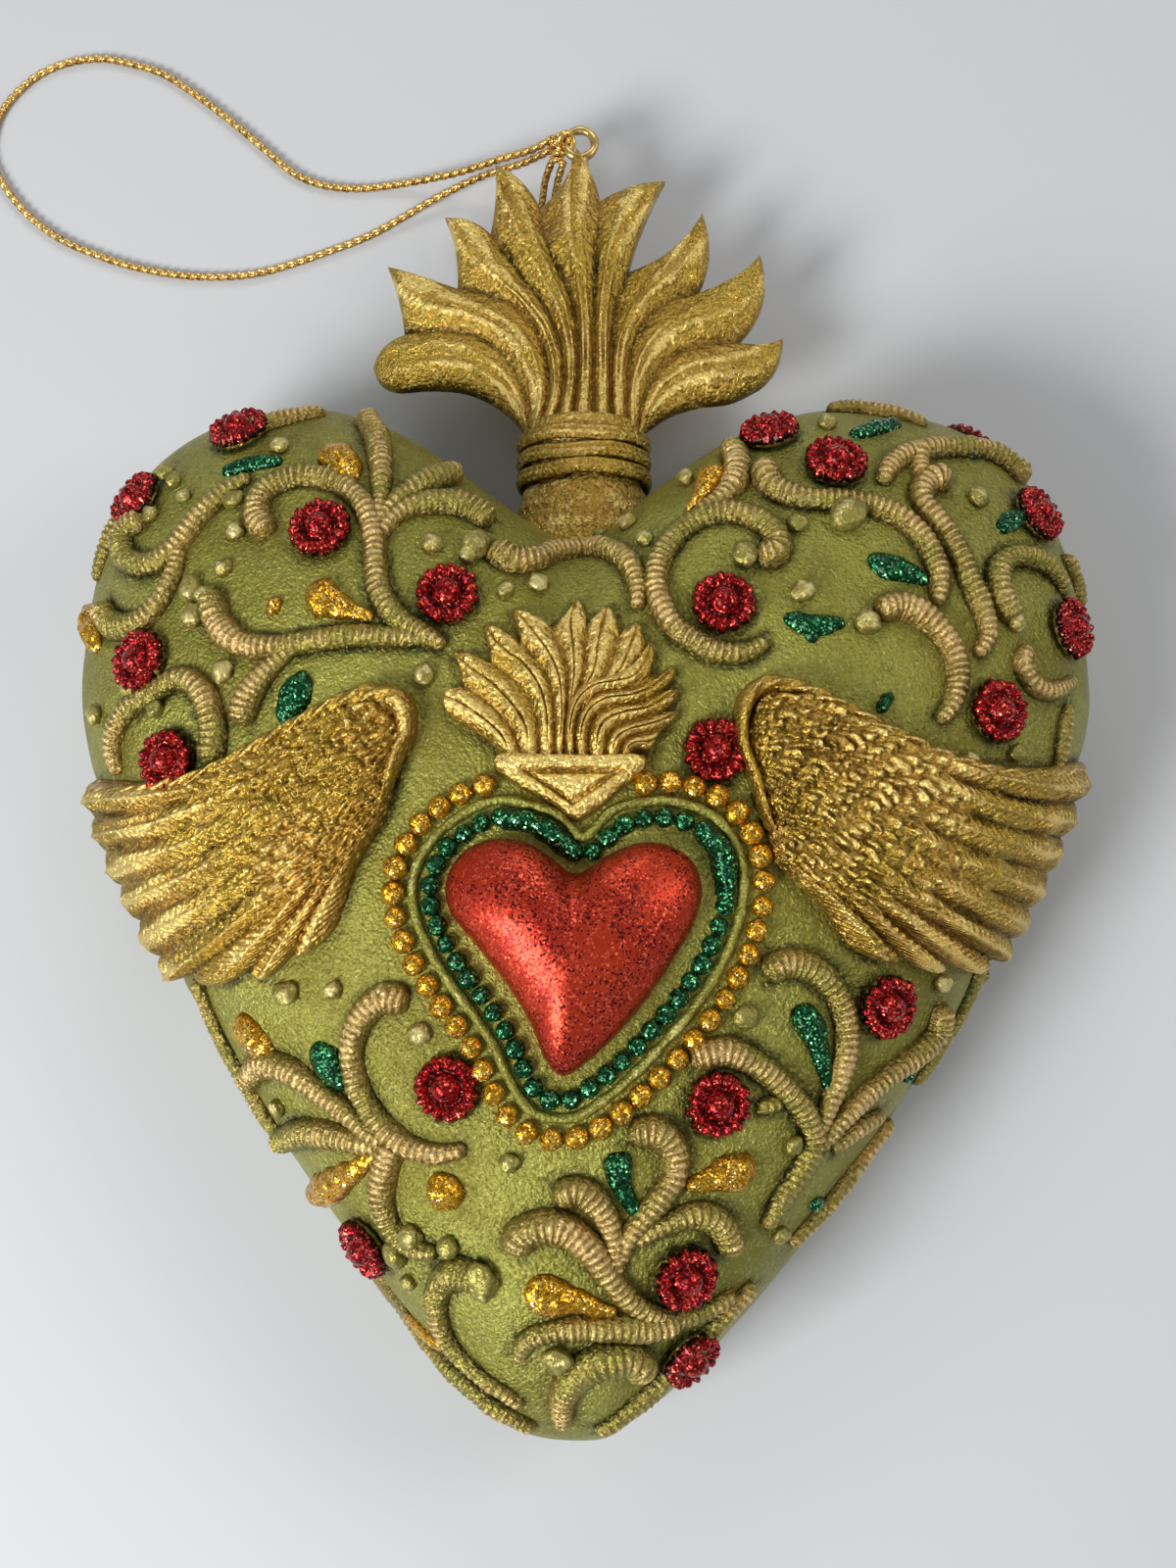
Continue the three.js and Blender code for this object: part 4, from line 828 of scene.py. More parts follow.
# Scroll vines: strands of stops x and y, and the width where it isn't the usual one
VINE_WIDTH = 2.5
VINES = {
    "vine_left_crest": [
        [(-25.5, 41.5), (-23.8, 38), (-22.8, 34), (-22.4, 30), (-22.6, 24.4)],
        [(-14.5, 33), (-17.8, 30.6), (-20.5, 28.2), (-22.8, 24.6)],
        [(-10.2, 25.8), (-13, 27.6), (-16.5, 28), (-20, 26.6), (-22.6, 23)],
        [(-34.2, 24.2), (-35.8, 26.8), (-35, 30), (-31.6, 31.6), (-27.6, 30.8), (-24.6, 28.2), (-23, 24.5),
         (-22.5, 20.5), (-21.9, 17), (-20, 14), (-17, 12), (-14.8, 10.6)],
        [(-40.5, 18.2), (-39.4, 14.5), (-37, 12), (-33.5, 11.2), (-29.5, 11.5), (-25, 12), (-20.5, 11.8),
         (-16.2, 11.4)],
        [(-36.4, 2.8), (-35.6, 5.8), (-33.4, 8.8), (-30.5, 11.2)],
    ],
    "vine_left_outer": [
        [(-49.2, 29), (-52, 27.4), (-51.4, 24.4), (-48, 22.6), (-45, 24), (-42.6, 27.2), (-39.8, 30.2),
         (-37, 32.2)],
        [(-54, 19.2), (-52.6, 16.6), (-50, 15.6), (-47.2, 16.8), (-45.2, 20), (-44.2, 24)],
    ],
    "vine_left_hook": [
        [(-39.6, -1), (-39.4, 3), (-40.6, 6.6), (-43.4, 8.6), (-46.6, 7.4), (-50, 5.8), (-51.6, 2.4),
         (-51, -0.6)],
    ],
    "vine_right_crest": [
        [(-10.5, 22.6), (-8.4, 21), (-5.6, 21.4), (-3.2, 23), (0, 23.7), (2.6, 22.8), (4.4, 20.6), (5.2, 18),
         (5.2, 14.8)],
        [(16, 36.5), (16.6, 33.4), (15.9, 30.4), (14, 28), (11.6, 26.6)],
        [(17.8, 20.8), (20, 21.6), (19.8, 24.2), (17, 26.2), (13.6, 26.4), (10.4, 24.8), (8, 21.6),
         (7.2, 18.5), (7.9, 15), (10, 12), (13, 10.2), (16.4, 10), (19, 11.4)],
    ],
    "vine_right_fork": [
        [(19.6, 33), (19.5, 31.2), (20.8, 29.3), (23.6, 28.3), (27.4, 28.2), (31, 27.7), (34.4, 26.2),
         (36.5, 23.8), (37.7, 20.8), (37.8, 18.2), (37.3, 16.2)],
    ],
    "vine_right_long": [
        [(50, 34.4), (48.8, 36.6), (46, 37.8), (42, 37.3), (38, 36.2), (35, 34.8), (33, 32.6), (32.3, 30.6)],
        [(40.2, 31.4), (38.6, 31.8), (37, 30.8), (36.6, 28.8), (37.9, 26.8), (39.3, 24.8), (40.5, 22.3),
         (41.4, 19.5), (42.6, 16.5), (43.1, 13.6), (41.6, 10.8)],
        [(37.4, 36.6), (36.8, 34), (37.2, 30)],
    ],
    "vine_right_rim": [
        [(46.4, 15.6), (44.9, 18.2), (44.8, 20.8), (46.2, 23), (49.2, 23.8), (52.4, 22.6), (54, 20.6)],
    ],
    "vine_right_hook": [
        [(30.5, 15), (33.6, 15.9), (36.6, 14.4), (38.7, 11.8), (39.4, 8.5), (38.6, 5.4), (37, 3.2)],
    ],
    "vine_lower_left": [
        [(-36.5, -33.4), (-34, -32), (-31, -32.8), (-28, -34.8), (-25, -37), (-22.4, -39.2), (-20, -41)],
        [(-33, -39.6), (-29.5, -39.1), (-26, -39.6), (-22.8, -40.5), (-19.6, -41)],
        [(-18, -26.4), (-20.8, -26), (-23, -27.8), (-24.1, -31), (-23.6, -34.4), (-21.8, -37.6),
         (-19.2, -40.2), (-15.8, -41.5), (-12.2, -41.2)],
        [(-19.6, -40.2), (-20.8, -43.4), (-21, -46.4), (-20, -49), (-18, -50.9), (-15.2, -51.4)],
    ],
    "vine_bottom_left": [
        [(-10.6, -54, 3), (-13.4, -53.4, 3.2), (-15.3, -55.2, 2.8), (-15.3, -58, 2.3), (-14.2, -60.8, 2.1),
         (-12, -63.2, 1.9), (-9.4, -65.2, 1.7), (-6.6, -67, 1.4)],
    ],
    "vine_bottom_tip": [
        [(6, -63.6, 2.8), (4.2, -62, 3.6), (1.4, -62.2, 3.8), (-1, -63.6, 3.4), (-2.6, -66, 2.8),
         (-2.6, -69, 2)],
    ],
    "vine_lower_middle": [
        [(-7.6, -51.4, 2.8), (-6, -49.2, 3.4), (-3, -48.8, 3.4), (-0.2, -50.6, 3), (2, -53.6, 2.6),
         (4.6, -56.4, 2.4), (8.2, -58, 2.3), (12, -57.4, 2), (15.2, -55.6, 1.6)],
        [(-3.6, -45.8), (-1, -45.3), (1.2, -47), (2.6, -50), (3, -53.6)],
        [(4, -39.6), (6.8, -39.4), (8.7, -41.2), (8.6, -44.2), (6.6, -46.8), (4.4, -49.4), (3.2, -52.4)],
        [(14.8, -51.4), (13.6, -48.7), (11, -47.6), (7.8, -48.6), (4.4, -50.4)],
        [(9.4, -58), (6, -58.8), (2, -58.9), (-2, -58.9), (-5.6, -59.8), (-7.3, -62.2)],
    ],
    "vine_lower_right": [
        [(10.2, -32.2), (13.8, -31.4), (17.2, -32.7), (20.2, -35), (22.6, -37.8), (23.3, -40.6),
         (21.8, -43.4), (19.8, -46.4), (18.4, -49)],
        [(17.8, -23.6), (20.6, -22.4), (23.8, -23.4), (26, -26), (26.8, -29.5), (26.2, -33), (24.9, -36.6),
         (23.6, -40)],
        [(38, -25.5), (37.4, -28.4), (35, -30.8), (32, -33), (29, -35.4), (26.2, -38.2), (23.8, -41)],
    ],
}
RIB_PITCH = 0.78
RIB_DEPTH = 0.17
VINE_RISE = 0.6
VINE_STEPS_PER_MM = 7.5


def strand(stops, seed):
    """One ribbed strand, from its thick curled head to its thin root."""
    last = len(stops) - 1
    taper = {0: 0.95, 1: 1.22, 2: 1.12, last - 1: 0.86, last: 0.6}
    stops = [
        stop if len(stop) > 2 else (*stop, VINE_WIDTH * taper.get(i, 1)) for i, stop in enumerate(stops)
    ]
    track = Track(stops)
    steps = max(8, round(track.length * VINE_STEPS_PER_MM))
    bm, top, share, t, far, width, end = strip(track, steps, 12)
    edge = np.linspace(0, 1, max(4, round(track.length * 2)))
    for side in (-1, 1):
        OUTLINES.append(track.beside(edge, side * track.at(edge)[1] / 2, 0 * edge))
    arch = np.maximum(0, 1 - t ** 2) ** 0.62
    count = max(1, round(track.length / RIB_PITCH))
    along_it = np.column_stack([far, 0 * far, 0 * far])
    uneven = bumps(along_it, 1.4, seed + 2)
    rib = (0.5 + 0.5 * np.cos(2 * math.pi * (share * count - 0.12 * t ** 2 + 0.16 * uneven))) ** 0.7
    deep = RIB_DEPTH * (1 + 0.6 * bumps(along_it, 2.2, seed + 3))
    shape = arch * (1 - deep * (1 - rib) * np.minimum(1, 1.6 * arch))
    knob = np.exp(-(((far - 1.3) / 1.1) ** 2)) * min(1, track.length / 12)
    height = VINE_RISE * width * shape * end * (1 + 0.25 * knob + 0.08 * uneven)
    swell = 1.1 + 0.05 * (rib - 0.5) + 0.12 * knob + 0.07 * uneven
    spread = width / 2 * t * (0.35 + 0.65 * end) * swell
    places = track.beside(share, spread, height * top - 0.25 * (1 - top))
    roughen(places, 0.7, seed, 0.09)
    crest = np.clip(shape * (0.52 + 0.5 * rib) * end, 0, 1) * top
    return finish_mesh("strand", bm, places, crest)


for order, (name, strands) in enumerate(VINES.items()):
    meshes = [strand(stops, 10 * order + i) for i, stops in enumerate(strands)]
    add_piece("cast_" + name, meshes, SCROLL_GOLD, replaces=[name])

# Wings: feathers that fan out from the shoulder, and the edge in front of them with its widths
LEFT_WING = [
    [(-19.8, 4.4), (-26, 3), (-34, -1), (-43, -3.6), (-51, -2.8), (-57.5, 0.2)],
    [(-18.8, 2.6), (-26, 0), (-35, -4), (-44, -6.4), (-51, -6), (-57, -3.2)],
    [(-18.8, 0.8), (-26, -2.4), (-35, -7), (-43, -9.4), (-50, -9.6), (-55.4, -7.6)],
    [(-19, -0.8), (-25.5, -4.6), (-34, -9.6), (-41.5, -12.4), (-47.5, -13.2), (-53, -12)],
    [(-19.3, -1.9), (-25, -6.8), (-32, -11.8), (-39, -15.4), (-45, -17), (-50.5, -17)],
    [(-19.6, -3.6), (-24.6, -8.4), (-30, -13.6), (-35.4, -17.6), (-40.4, -20.4), (-45.4, -21.4)],
    [(-19.9, -4.9), (-24.2, -9.6), (-28.2, -14.4), (-32, -18.6), (-35.6, -21.6), (-38.6, -23.6)],
    [(-20.3, -6.2), (-23.6, -10.4), (-26.4, -14.4), (-29, -18), (-31, -20.8), (-33, -23.4)],
    [(-20.8, -7.6), (-23, -10.8), (-24.8, -13.8), (-26.2, -16.6), (-27.4, -18.8), (-28.4, -21)],
]
RIGHT_WING = [
    [(17.6, 5), (24, 4), (32, 0.6), (41, -1.9), (49, -1.8), (57, 2)],
    [(16.6, 3), (24, 1.4), (33, -2.4), (41.5, -5), (49, -5), (56.6, -1.8)],
    [(16.4, 1), (23.8, -1), (32.5, -5.2), (40.5, -8), (48, -8.4), (55.2, -6)],
    [(16.6, -1), (23.6, -3.4), (31.4, -7.8), (38.6, -11), (46, -12), (53.4, -10.6)],
    [(17, -3), (23.4, -5.8), (30, -10.2), (36.6, -13.6), (43.4, -15.4), (50.4, -15)],
    [(17.4, -5), (23, -8), (28.6, -12.2), (34.2, -15.8), (40.4, -18.2), (46.4, -18.8)],
    [(18, -7), (22.4, -10), (27, -13.6), (31.6, -17), (36.4, -19.8), (41.4, -21.6)],
    [(18.4, -9), (21.8, -11.6), (25.2, -14.4), (28.6, -17.2), (32.4, -20), (36, -22.4)],
    [(18.6, -11), (21, -13), (23.4, -15), (25.8, -17), (28.2, -19.4), (30.4, -21.8)],
]
FEATHER_RISE = (3.9, 2.1)
TIP_ROUND = 0.11
FEATHER_STEPS = 220
FEATHER_STEPS_ACROSS = 18
COVERT_END = 0.36
COVERT_LENGTH = 2.4
COVERT_ROWS = 2.4


def wing(feathers, seed, flip):
    """A fan of feathers: short rough coverts by the shoulder, then long ones with a shaft and
    slanting barbs. A flipped fan is drawn from its other side."""
    tracks = [Track(stops) for stops in feathers]
    count = len(tracks)
    bm, grid = slab(FEATHER_STEPS, FEATHER_STEPS_ACROSS * count)
    q = (grid[:, 1] + 1) / 2 * count
    if flip:
        q = count - q
    which = np.clip(np.floor(q).astype(int), 0, count - 1)
    f = 2 * (q - which) - 1
    side = np.abs(f)
    whole = (grid[:, 0] + 1) / 2
    share = 1 - (1 - whole) ** 1.1
    share = share * (1 - TIP_ROUND * side ** 2.2)
    ridges = np.stack([t.at(share)[0] for t in tracks])
    row = np.arange(len(grid))
    here = ridges[which, row]
    step = np.where(f < 0, -1, 1)
    near = which + step
    inside = (near >= 0) & (near < count)
    other = ridges[np.clip(near, 0, count - 1), row]
    back = ridges[np.clip(which - step, 0, count - 1), row]
    valley = np.where(inside[:, None], (here + other) / 2, here + (here - back) / 2)
    spots = here + (valley - here) * side[:, None]
    length = np.array([t.length for t in tracks])[which]
    far = share * length
    flat = skin(spots)
    ragged = sheet_bumps(far / 3, 1.5 * q, seed)
    long = np.clip((share - COVERT_END + 0.16 * ragged) / 0.2, 0, 1)
    body = FEATHER_RISE[0] + (FEATHER_RISE[1] - FEATHER_RISE[0]) * share
    arch = 1 - side ** 1.8
    shaft = np.exp(-((f / 0.1) ** 2))
    barbs = np.sin(2 * math.pi * (far + 1.7 * side)) * (1 - shaft) * (0.7 + 0.6 * ragged)
    streaks = sheet_bumps(far / 5, 6 * q, seed + 4)
    feather = 0.25 + 0.55 * arch ** 0.8 + 0.2 * shaft + 0.1 * barbs + 0.16 * streaks
    warp = bumps(flat, 1.6, seed + 1)
    rows = COVERT_ROWS * q + 0.5 * warp
    saw = (far / COVERT_LENGTH + 0.37 * np.floor(rows) + 0.45 * warp) % 1
    chips = saw ** 1.5 * (1 - 0.7 * (2 * (rows % 1) - 1) ** 2)
    coverts = 0.46 + 0.52 * chips + 0.12 * bumps(flat, 0.6, seed + 2) + 0.12 * bumps(flat, 5, seed + 5)
    relief = long * feather + (1 - long) * coverts
    end = np.sqrt(np.clip(1 - whole ** 22, 0, 1))
    border = np.clip(np.minimum(q, count - q) / 0.5, 0, 1) ** 0.5
    start = np.clip(share * length / 2.2, 0, 1) ** 0.5
    lift = body * (0.35 + 0.65 * relief) * (0.35 + 0.65 * end) * border * start
    places = raised(spots, over(grid[:, 2], lift))
    roughen(places, 0.5, seed + 3, 0.1)
    OUTLINES.append(flat[upper_rim(grid)])
    crest = np.clip((relief - 0.3) * 1.75, 0, 1) * grid[:, 2]
    return finish_mesh("wing", bm, places, crest)


def leading_edge(stops, seed):
    """The smooth ridge along the top of a wing, which ends in a knob at the shoulder."""
    track = Track(stops)
    bm, top, share, t, far, width, end = strip(track, 240, 16)
    arch = np.sqrt(np.maximum(0, 1 - np.abs(t) ** 2.2))
    stroke = np.sin(2 * math.pi * (far / 2.9 - 0.9 * t)) * (1 - np.exp(-((far - 9) / 6) ** 2))
    lump = sheet_bumps(far / 1.8, t, seed)
    shape = arch * (0.9 + 0.07 * stroke + 0.1 * lump)
    lift = (0.5 * width + 2.5 - 2.1 * share) * shape * end
    wide = width / 2 * t * (0.3 + 0.7 * end) * (1 + 0.1 * lump)
    places = track.beside(share, wide, over(top, lift))
    return finish_mesh("edge", bm, places, np.clip(shape * (0.8 + 0.2 * stroke) * end, 0, 1) * top)


LEFT_EDGE = [
    (-21.6, -8, 1), (-20, -3, 1.4), (-18.6, 1.4, 2), (-19.4, 4.4, 3), (-22.6, 5, 2.8), (-28, 3.2, 2.1),
    (-34, 0.2, 1.8), (-41, -2.3, 1.7), (-49, -2.6, 1.6), (-56.6, 0.8, 1.4),
]
RIGHT_EDGE = [
    (18.6, -9, 1), (17.2, -4, 1.4), (15.8, 0.6, 1.6), (16.2, 4.2, 2), (18.6, 6.2, 2.2), (23.4, 5.2, 2.1),
    (31, 1.7, 1.9), (40, -1.1, 1.8), (48, -1, 1.6), (56, 2.4, 1.4),
]
add_piece(
    "feathered_left_wing", [wing(LEFT_WING, 31, False), leading_edge(LEFT_EDGE, 32)],
    ANTIQUE_GOLD, replaces=["left_wing"],
)
add_piece(
    "feathered_right_wing", [wing(RIGHT_WING, 41, True), leading_edge(RIGHT_EDGE, 42)],
    ANTIQUE_GOLD, replaces=["right_wing"],
)

# The crown: nine flames that rise from the neck as flutes and part towards their tips
# Each flame has a line up its middle, and a line lies in every valley beside them
CROWN_LINES = [
    [(-7.4, 43), (-8.4, 44.6), (-10, 46.3), (-13.5, 48.4), (-18, 49.3), (-22.5, 49.2)],
    [(-7.4, 43), (-8.2, 46.2), (-10.2, 49.6), (-13.7, 52.3), (-19.8, 53.4), (-26, 52.4)],
    [(-7.1, 43), (-7.6, 47.4), (-9.1, 51.4), (-11.8, 54.8), (-15.6, 56.4), (-22.3, 56.6)],
    [(-6.5, 43), (-6.1, 48), (-7.5, 52.8), (-10, 56.4), (-14, 58.8), (-18.8, 60.3), (-22.6, 62.2),
     (-24.5, 65.6)],
    [(-5.7, 43), (-4.7, 48), (-5.4, 54.2), (-7.5, 58.6), (-11, 60.9), (-16, 62.2)],
    [(-4.9, 43), (-3.7, 49), (-4.9, 55.6), (-7.9, 60.3), (-11.6, 64), (-14.9, 67.8), (-17.6, 72.2)],
    [(-3.9, 43), (-2.9, 49), (-3.6, 55), (-5.6, 60), (-8.3, 64), (-12, 70)],
    [(-2.9, 43), (-2, 49), (-2.3, 55), (-3.8, 60.6), (-6.1, 65.4), (-8.3, 70.4), (-10, 74.6), (-11.5, 79.3)],
    [(-1.9, 43), (-1.2, 50), (-1.4, 57), (-2.6, 62), (-4.4, 66), (-5.9, 73.4)],
    [(-0.7, 43), (-0.3, 52), (-0.6, 60), (-1.3, 66), (-1.9, 71.6), (-1.8, 76.4), (-1.4, 81.6)],
    [(0.6, 43), (0.7, 52), (0.8, 60), (1, 66), (1.5, 74.5)],
    [(1.8, 43), (1.8, 51), (1.9, 58), (2.5, 64), (3.8, 69), (6.1, 73), (9.6, 77.1)],
    [(2.8, 43), (2.7, 50), (2.9, 56), (3.7, 60.8), (5, 65)],
    [(3.8, 43), (3.6, 50), (4.3, 56), (6.4, 60.6), (9.4, 64), (12.3, 67.8), (14.1, 72.7)],
    [(4.7, 43), (4.7, 48.6), (5.3, 54), (7.2, 58), (9.8, 60.4), (13.5, 62)],
    [(5.4, 43), (5.7, 48.4), (7.2, 53.4), (10.6, 57.3), (15.4, 59.5), (19.2, 62), (21.1, 67.2)],
    [(6, 43), (6.6, 47), (8.3, 50.8), (11, 53.6), (14.5, 55), (18.4, 55.6)],
    [(6.4, 43), (7.4, 45.8), (9.5, 49), (13, 51.2), (17.4, 51.9), (21, 53.1), (23.7, 56.2)],
    [(6.4, 43), (7.4, 44), (10, 45.9), (13, 46.9), (17, 47.6), (20.6, 49.5)],
]
CROWN_BULGES = [
    0.9, 0.8, -0.3, 0.3, -0.6, 0.7, -0.3, 0.8, -0.8, 0.4, 0.6, -0.4, -1.3, 1.1, -0.8, 1.7, -0.7, 0.9,
]
FLAME_THICKNESS = 2.9
PITTED_SPOT = (-9.4, 73.5)
PITTED_REACH = (1.6, 5)
VALLEY_ROUND = 0.02


def fan_places(lines, bulges, share, across, notch):
    """Places in a fan of lines, and how far each is from a flame's middle: 0 there, 1 in a valley.
    A notch draws the valleys' ends back from the tips."""
    on = []
    for i, line in enumerate(lines):
        track = smooth_curve(line)
        far = along(track)
        ahead = share * (1 - notch * share ** 3) if i % 2 == 0 else share
        on.append(look_up(ahead * far[-1], far, track))
    on = np.stack(on)
    low = np.clip(np.floor(across).astype(int), 0, len(lines) - 2)
    part = across - low
    rising = low % 2 == 1
    gap = np.where(rising, part, 1 - part)
    low_end, high_end = VALLEY_ROUND ** 0.5, (1 + VALLEY_ROUND) ** 0.5
    soft = (np.sqrt(gap ** 2 + VALLEY_ROUND) - low_end) / (high_end - low_end)
    part = np.where(rising, soft, 1 - soft)
    row = np.arange(len(share))
    place = on[low, row] * (1 - part)[:, None] + on[low + 1, row] * part[:, None]
    ends = np.array([line[-1] for line in lines], float)
    chord = ends[low + 1] - ends[low]
    outward = unit(np.stack([-chord[:, 1], chord[:, 0]], axis=1))
    swell = 4 * part * (1 - part) * share ** 4 * np.array(bulges)[low]
    return place + outward * swell[:, None], gap


def round_over(distance, reach):
    """0 at an edge and 1 past a reach from it, rounded over."""
    return np.sqrt(1 - (1 - np.clip(distance / reach, 0, 1)) ** 2)


def crown_sheet():
    """The nine flames as one sheet, which rises from the neck in flutes and parts into tips."""
    count = len(CROWN_LINES) - 1
    bm, grid = slab(110, 10 * count)
    share = 1 - (1 - (grid[:, 0] + 1) / 2) ** 1.35
    across = (grid[:, 1] + 1) / 2 * count
    place, gap = fan_places(CROWN_LINES, CROWN_BULGES, share, across, 0)
    foot = np.clip(1 - share / 0.55, 0, 1)
    oval = np.sin(math.pi * across / count)
    reach = FLAME_THICKNESS + (NECK_HALF_DEPTH - FLAME_THICKNESS) * foot ** 1.3 - 1.5 * share ** 3
    reach *= 1 + (np.maximum(oval, 0) ** 0.8 - 1) * foot ** 0.7
    side_edge = round_over(3.6 * np.minimum(across, count - across), 2.4)
    tip_edge = round_over((1 - share) * 36, 1.8)
    edge = (0.12 + 0.88 * tip_edge) * (side_edge + (1 - side_edge) * foot)
    waver = sheet_bumps(share * 9, across, 64)
    groove = np.exp(-(((gap - 0.06) / (0.16 + 0.06 * waver)) ** 2)) * np.clip(5 * share - 0.3, 0, 1)
    rills = np.cos(2 * math.pi * (2.4 * gap + 0.3 * waver)) * np.clip(3 * share, 0, 1)
    fold = np.maximum(0, 1 - gap ** 2.2) ** 0.8
    deep = 0.44 - 0.2 * foot
    front = reach * (1 - deep * (1 - fold) - 0.15 * groove + 0.03 * rills)
    back = reach * (1 - 0.3 * (1 - fold))
    z = CROWN_Z + (FLAME_TIP_Z - CROWN_Z) * share + np.where(grid[:, 2] > 0.5, front, -back) * edge
    places = np.column_stack([place, z])
    rough = sum(
        bumps(places, size, seed) * amount
        for size, seed, amount in ((0.9, 61, 0.14), (0.45, 65, 0.06), (2.6, 62, 0.16))
    )
    near_pits = np.exp(-(((place - PITTED_SPOT) / PITTED_REACH) ** 2).sum(1))
    pitted = np.clip(bumps(places, 0.6, 63) - 0.1, 0, 1) * near_pits
    places[:, 2] += (rough - 0.7 * pitted) * edge
    crest = np.clip(1.15 * fold - 0.12 - 0.55 * groove + 0.12 * rills - pitted + 0.8 * rough, 0, 1)
    return finish_mesh("flames", bm, places, crest)


def round_neck(turn, y, wide, deep):
    """Points round the neck at so much past its half width and its half depth."""
    return np.column_stack([
        NECK_X + (NECK_HALF_WIDTH + wide) * np.cos(turn), y,
        CROWN_Z + (NECK_HALF_DEPTH + deep) * np.sin(turn),
    ])


def neck_core():
    """The neck's oval core, with soft folds up its length."""
    sections = np.array(NECK_SECTIONS, float)
    bm, angle, share = tube(60, 72)
    y = sections[0, 0] + (sections[-1, 0] - sections[0, 0]) * share
    places = round_neck(angle, y, *look_up(y, sections[:, 0], sections[:, 1:]).T)
    folds = sheet_bumps(angle, y * 0.9, 61)
    grain = bumps(places, 1.6, 60) * NECK_RIPPLE + (0.5 - np.abs(folds)) * 3.4 * NECK_RIPPLE
    places[:, [0, 2]] += polar(1, angle) * grain[:, None]
    return finish_mesh("neck", bm, places, 0.5 + 3 * grain)


NECK_RIPPLE = 0.05
# Sections of the neck: y, extra half width and extra half depth
NECK_SECTIONS = [
    (24, 5.9, 1.4), (26, 3.6, 1.3), (28, 1.9, 1.1), (30.5, 1.1, 0.9), (33, 0.8, 0.6), (35.5, 0.3, 0.2),
    (35.9, 0, 0), (44, 0, 0),
]
add_piece(
    "fluted_crown", [crown_sheet(), neck_core()], ANTIQUE_GOLD,
    replaces=["flame_crown"],
)

BAND_HEIGHT = 1.9
BAND_GAP = 0.3
BAND_THICKNESS = 0.7
BAND_COUNT = 3
for i in range(BAND_COUNT):
    bm, turn, section = ring(120, 20)
    middle = BAND_BOTTOM_Y + i * (BAND_HEIGHT + BAND_GAP) + BAND_HEIGHT / 2
    dent = np.exp(-((section - 0.3) / 0.22) ** 2) + 0.5 * np.exp(-((section + 0.7) / 0.2) ** 2)
    out = BAND_GAP + BAND_THICKNESS / 2 + (BAND_THICKNESS / 2 + 0.1) * np.cos(section) - 0.24 * dent
    wobble = 0.16 * np.sin(2 * turn + i) + 0.1 * np.sin(5 * turn + 2 * i)
    places = round_neck(turn, middle + BAND_HEIGHT / 2 * np.sin(section) + wobble, out, out)
    band = finish_mesh("band", bm, places, 0.3 + 0.5 * np.cos(section) - 0.5 * dent)
    add_piece(
        f"rolled_band_{i + 1}", band, ANTIQUE_GOLD, replaces=[f"neck_band_{i + 1}"]
    )


def eye():
    """The wire eye and its two legs, which run down behind the middle flame's tip."""
    bm, turn, section = ring(48, 14)
    size = WIRE_RADIUS * (1 + 0.08 * np.sin(5 * turn))
    radius = EYE_RADIUS + size * np.cos(section)
    places = np.column_stack([polar(radius, turn), size * np.sin(section)])
    meshes = [finish_mesh("ring", bm, places + EYE_SPOT, np.full(len(places), 0.6))]
    for x in (-WIRE_RADIUS, WIRE_RADIUS):
        bm, angle, share = tube(12, 12)
        places = np.column_stack([
            x + WIRE_RADIUS * np.cos(angle), -EYE_RADIUS - LEG_LENGTH * (1 - share),
            WIRE_RADIUS * np.sin(angle),
        ])
        meshes.append(finish_mesh("leg", bm, places + EYE_SPOT, np.full(len(places), 0.5)))
    return meshes


add_piece("wire_eye", eye(), EYE_WIRE, replaces=["hanging_eye"])

# The small heart, its rows of beads and its flames
BEAD_LINE = [
    (-0.5, -11.7), (2.3, -9.7), (5.5, -8), (9, -8), (12.3, -9.5), (13.9, -12.5), (14, -16), (13, -19.5),
    (11.3, -23), (9, -26.3), (6.3, -29.4), (3.5, -32.3), (0.7, -34.7), (-2, -36.3), (-4.7, -35.8),
    (-6.3, -33.3), (-7.8, -30), (-9.8, -27), (-12.2, -23.8), (-14.3, -20.5), (-15.7, -17.2), (-15.9, -14.2),
    (-14.5, -11.3), (-11.7, -8.9), (-9, -7.8), (-6, -8.3), (-3, -10),
]
GREEN_BEAD = 1.05
AMBER_BEAD = 1.25
RIM_WIDTH = 0.9
BEAD_GAP = 0.3
RIM_OUT = GREEN_BEAD + BEAD_GAP + RIM_WIDTH / 2
AMBER_OUT = RIM_OUT + RIM_WIDTH / 2 + BEAD_GAP + AMBER_BEAD
ROPE_STEPS_PER_MM = 5


def line_out(distance):
    """The beads' line, moved outwards."""
    line = np.array(BEAD_LINE, float)
    ahead = unit(np.roll(line, -1, axis=0) - np.roll(line, 1, axis=0))
    return line + np.stack([-ahead[:, 1], ahead[:, 0]], axis=1) * distance


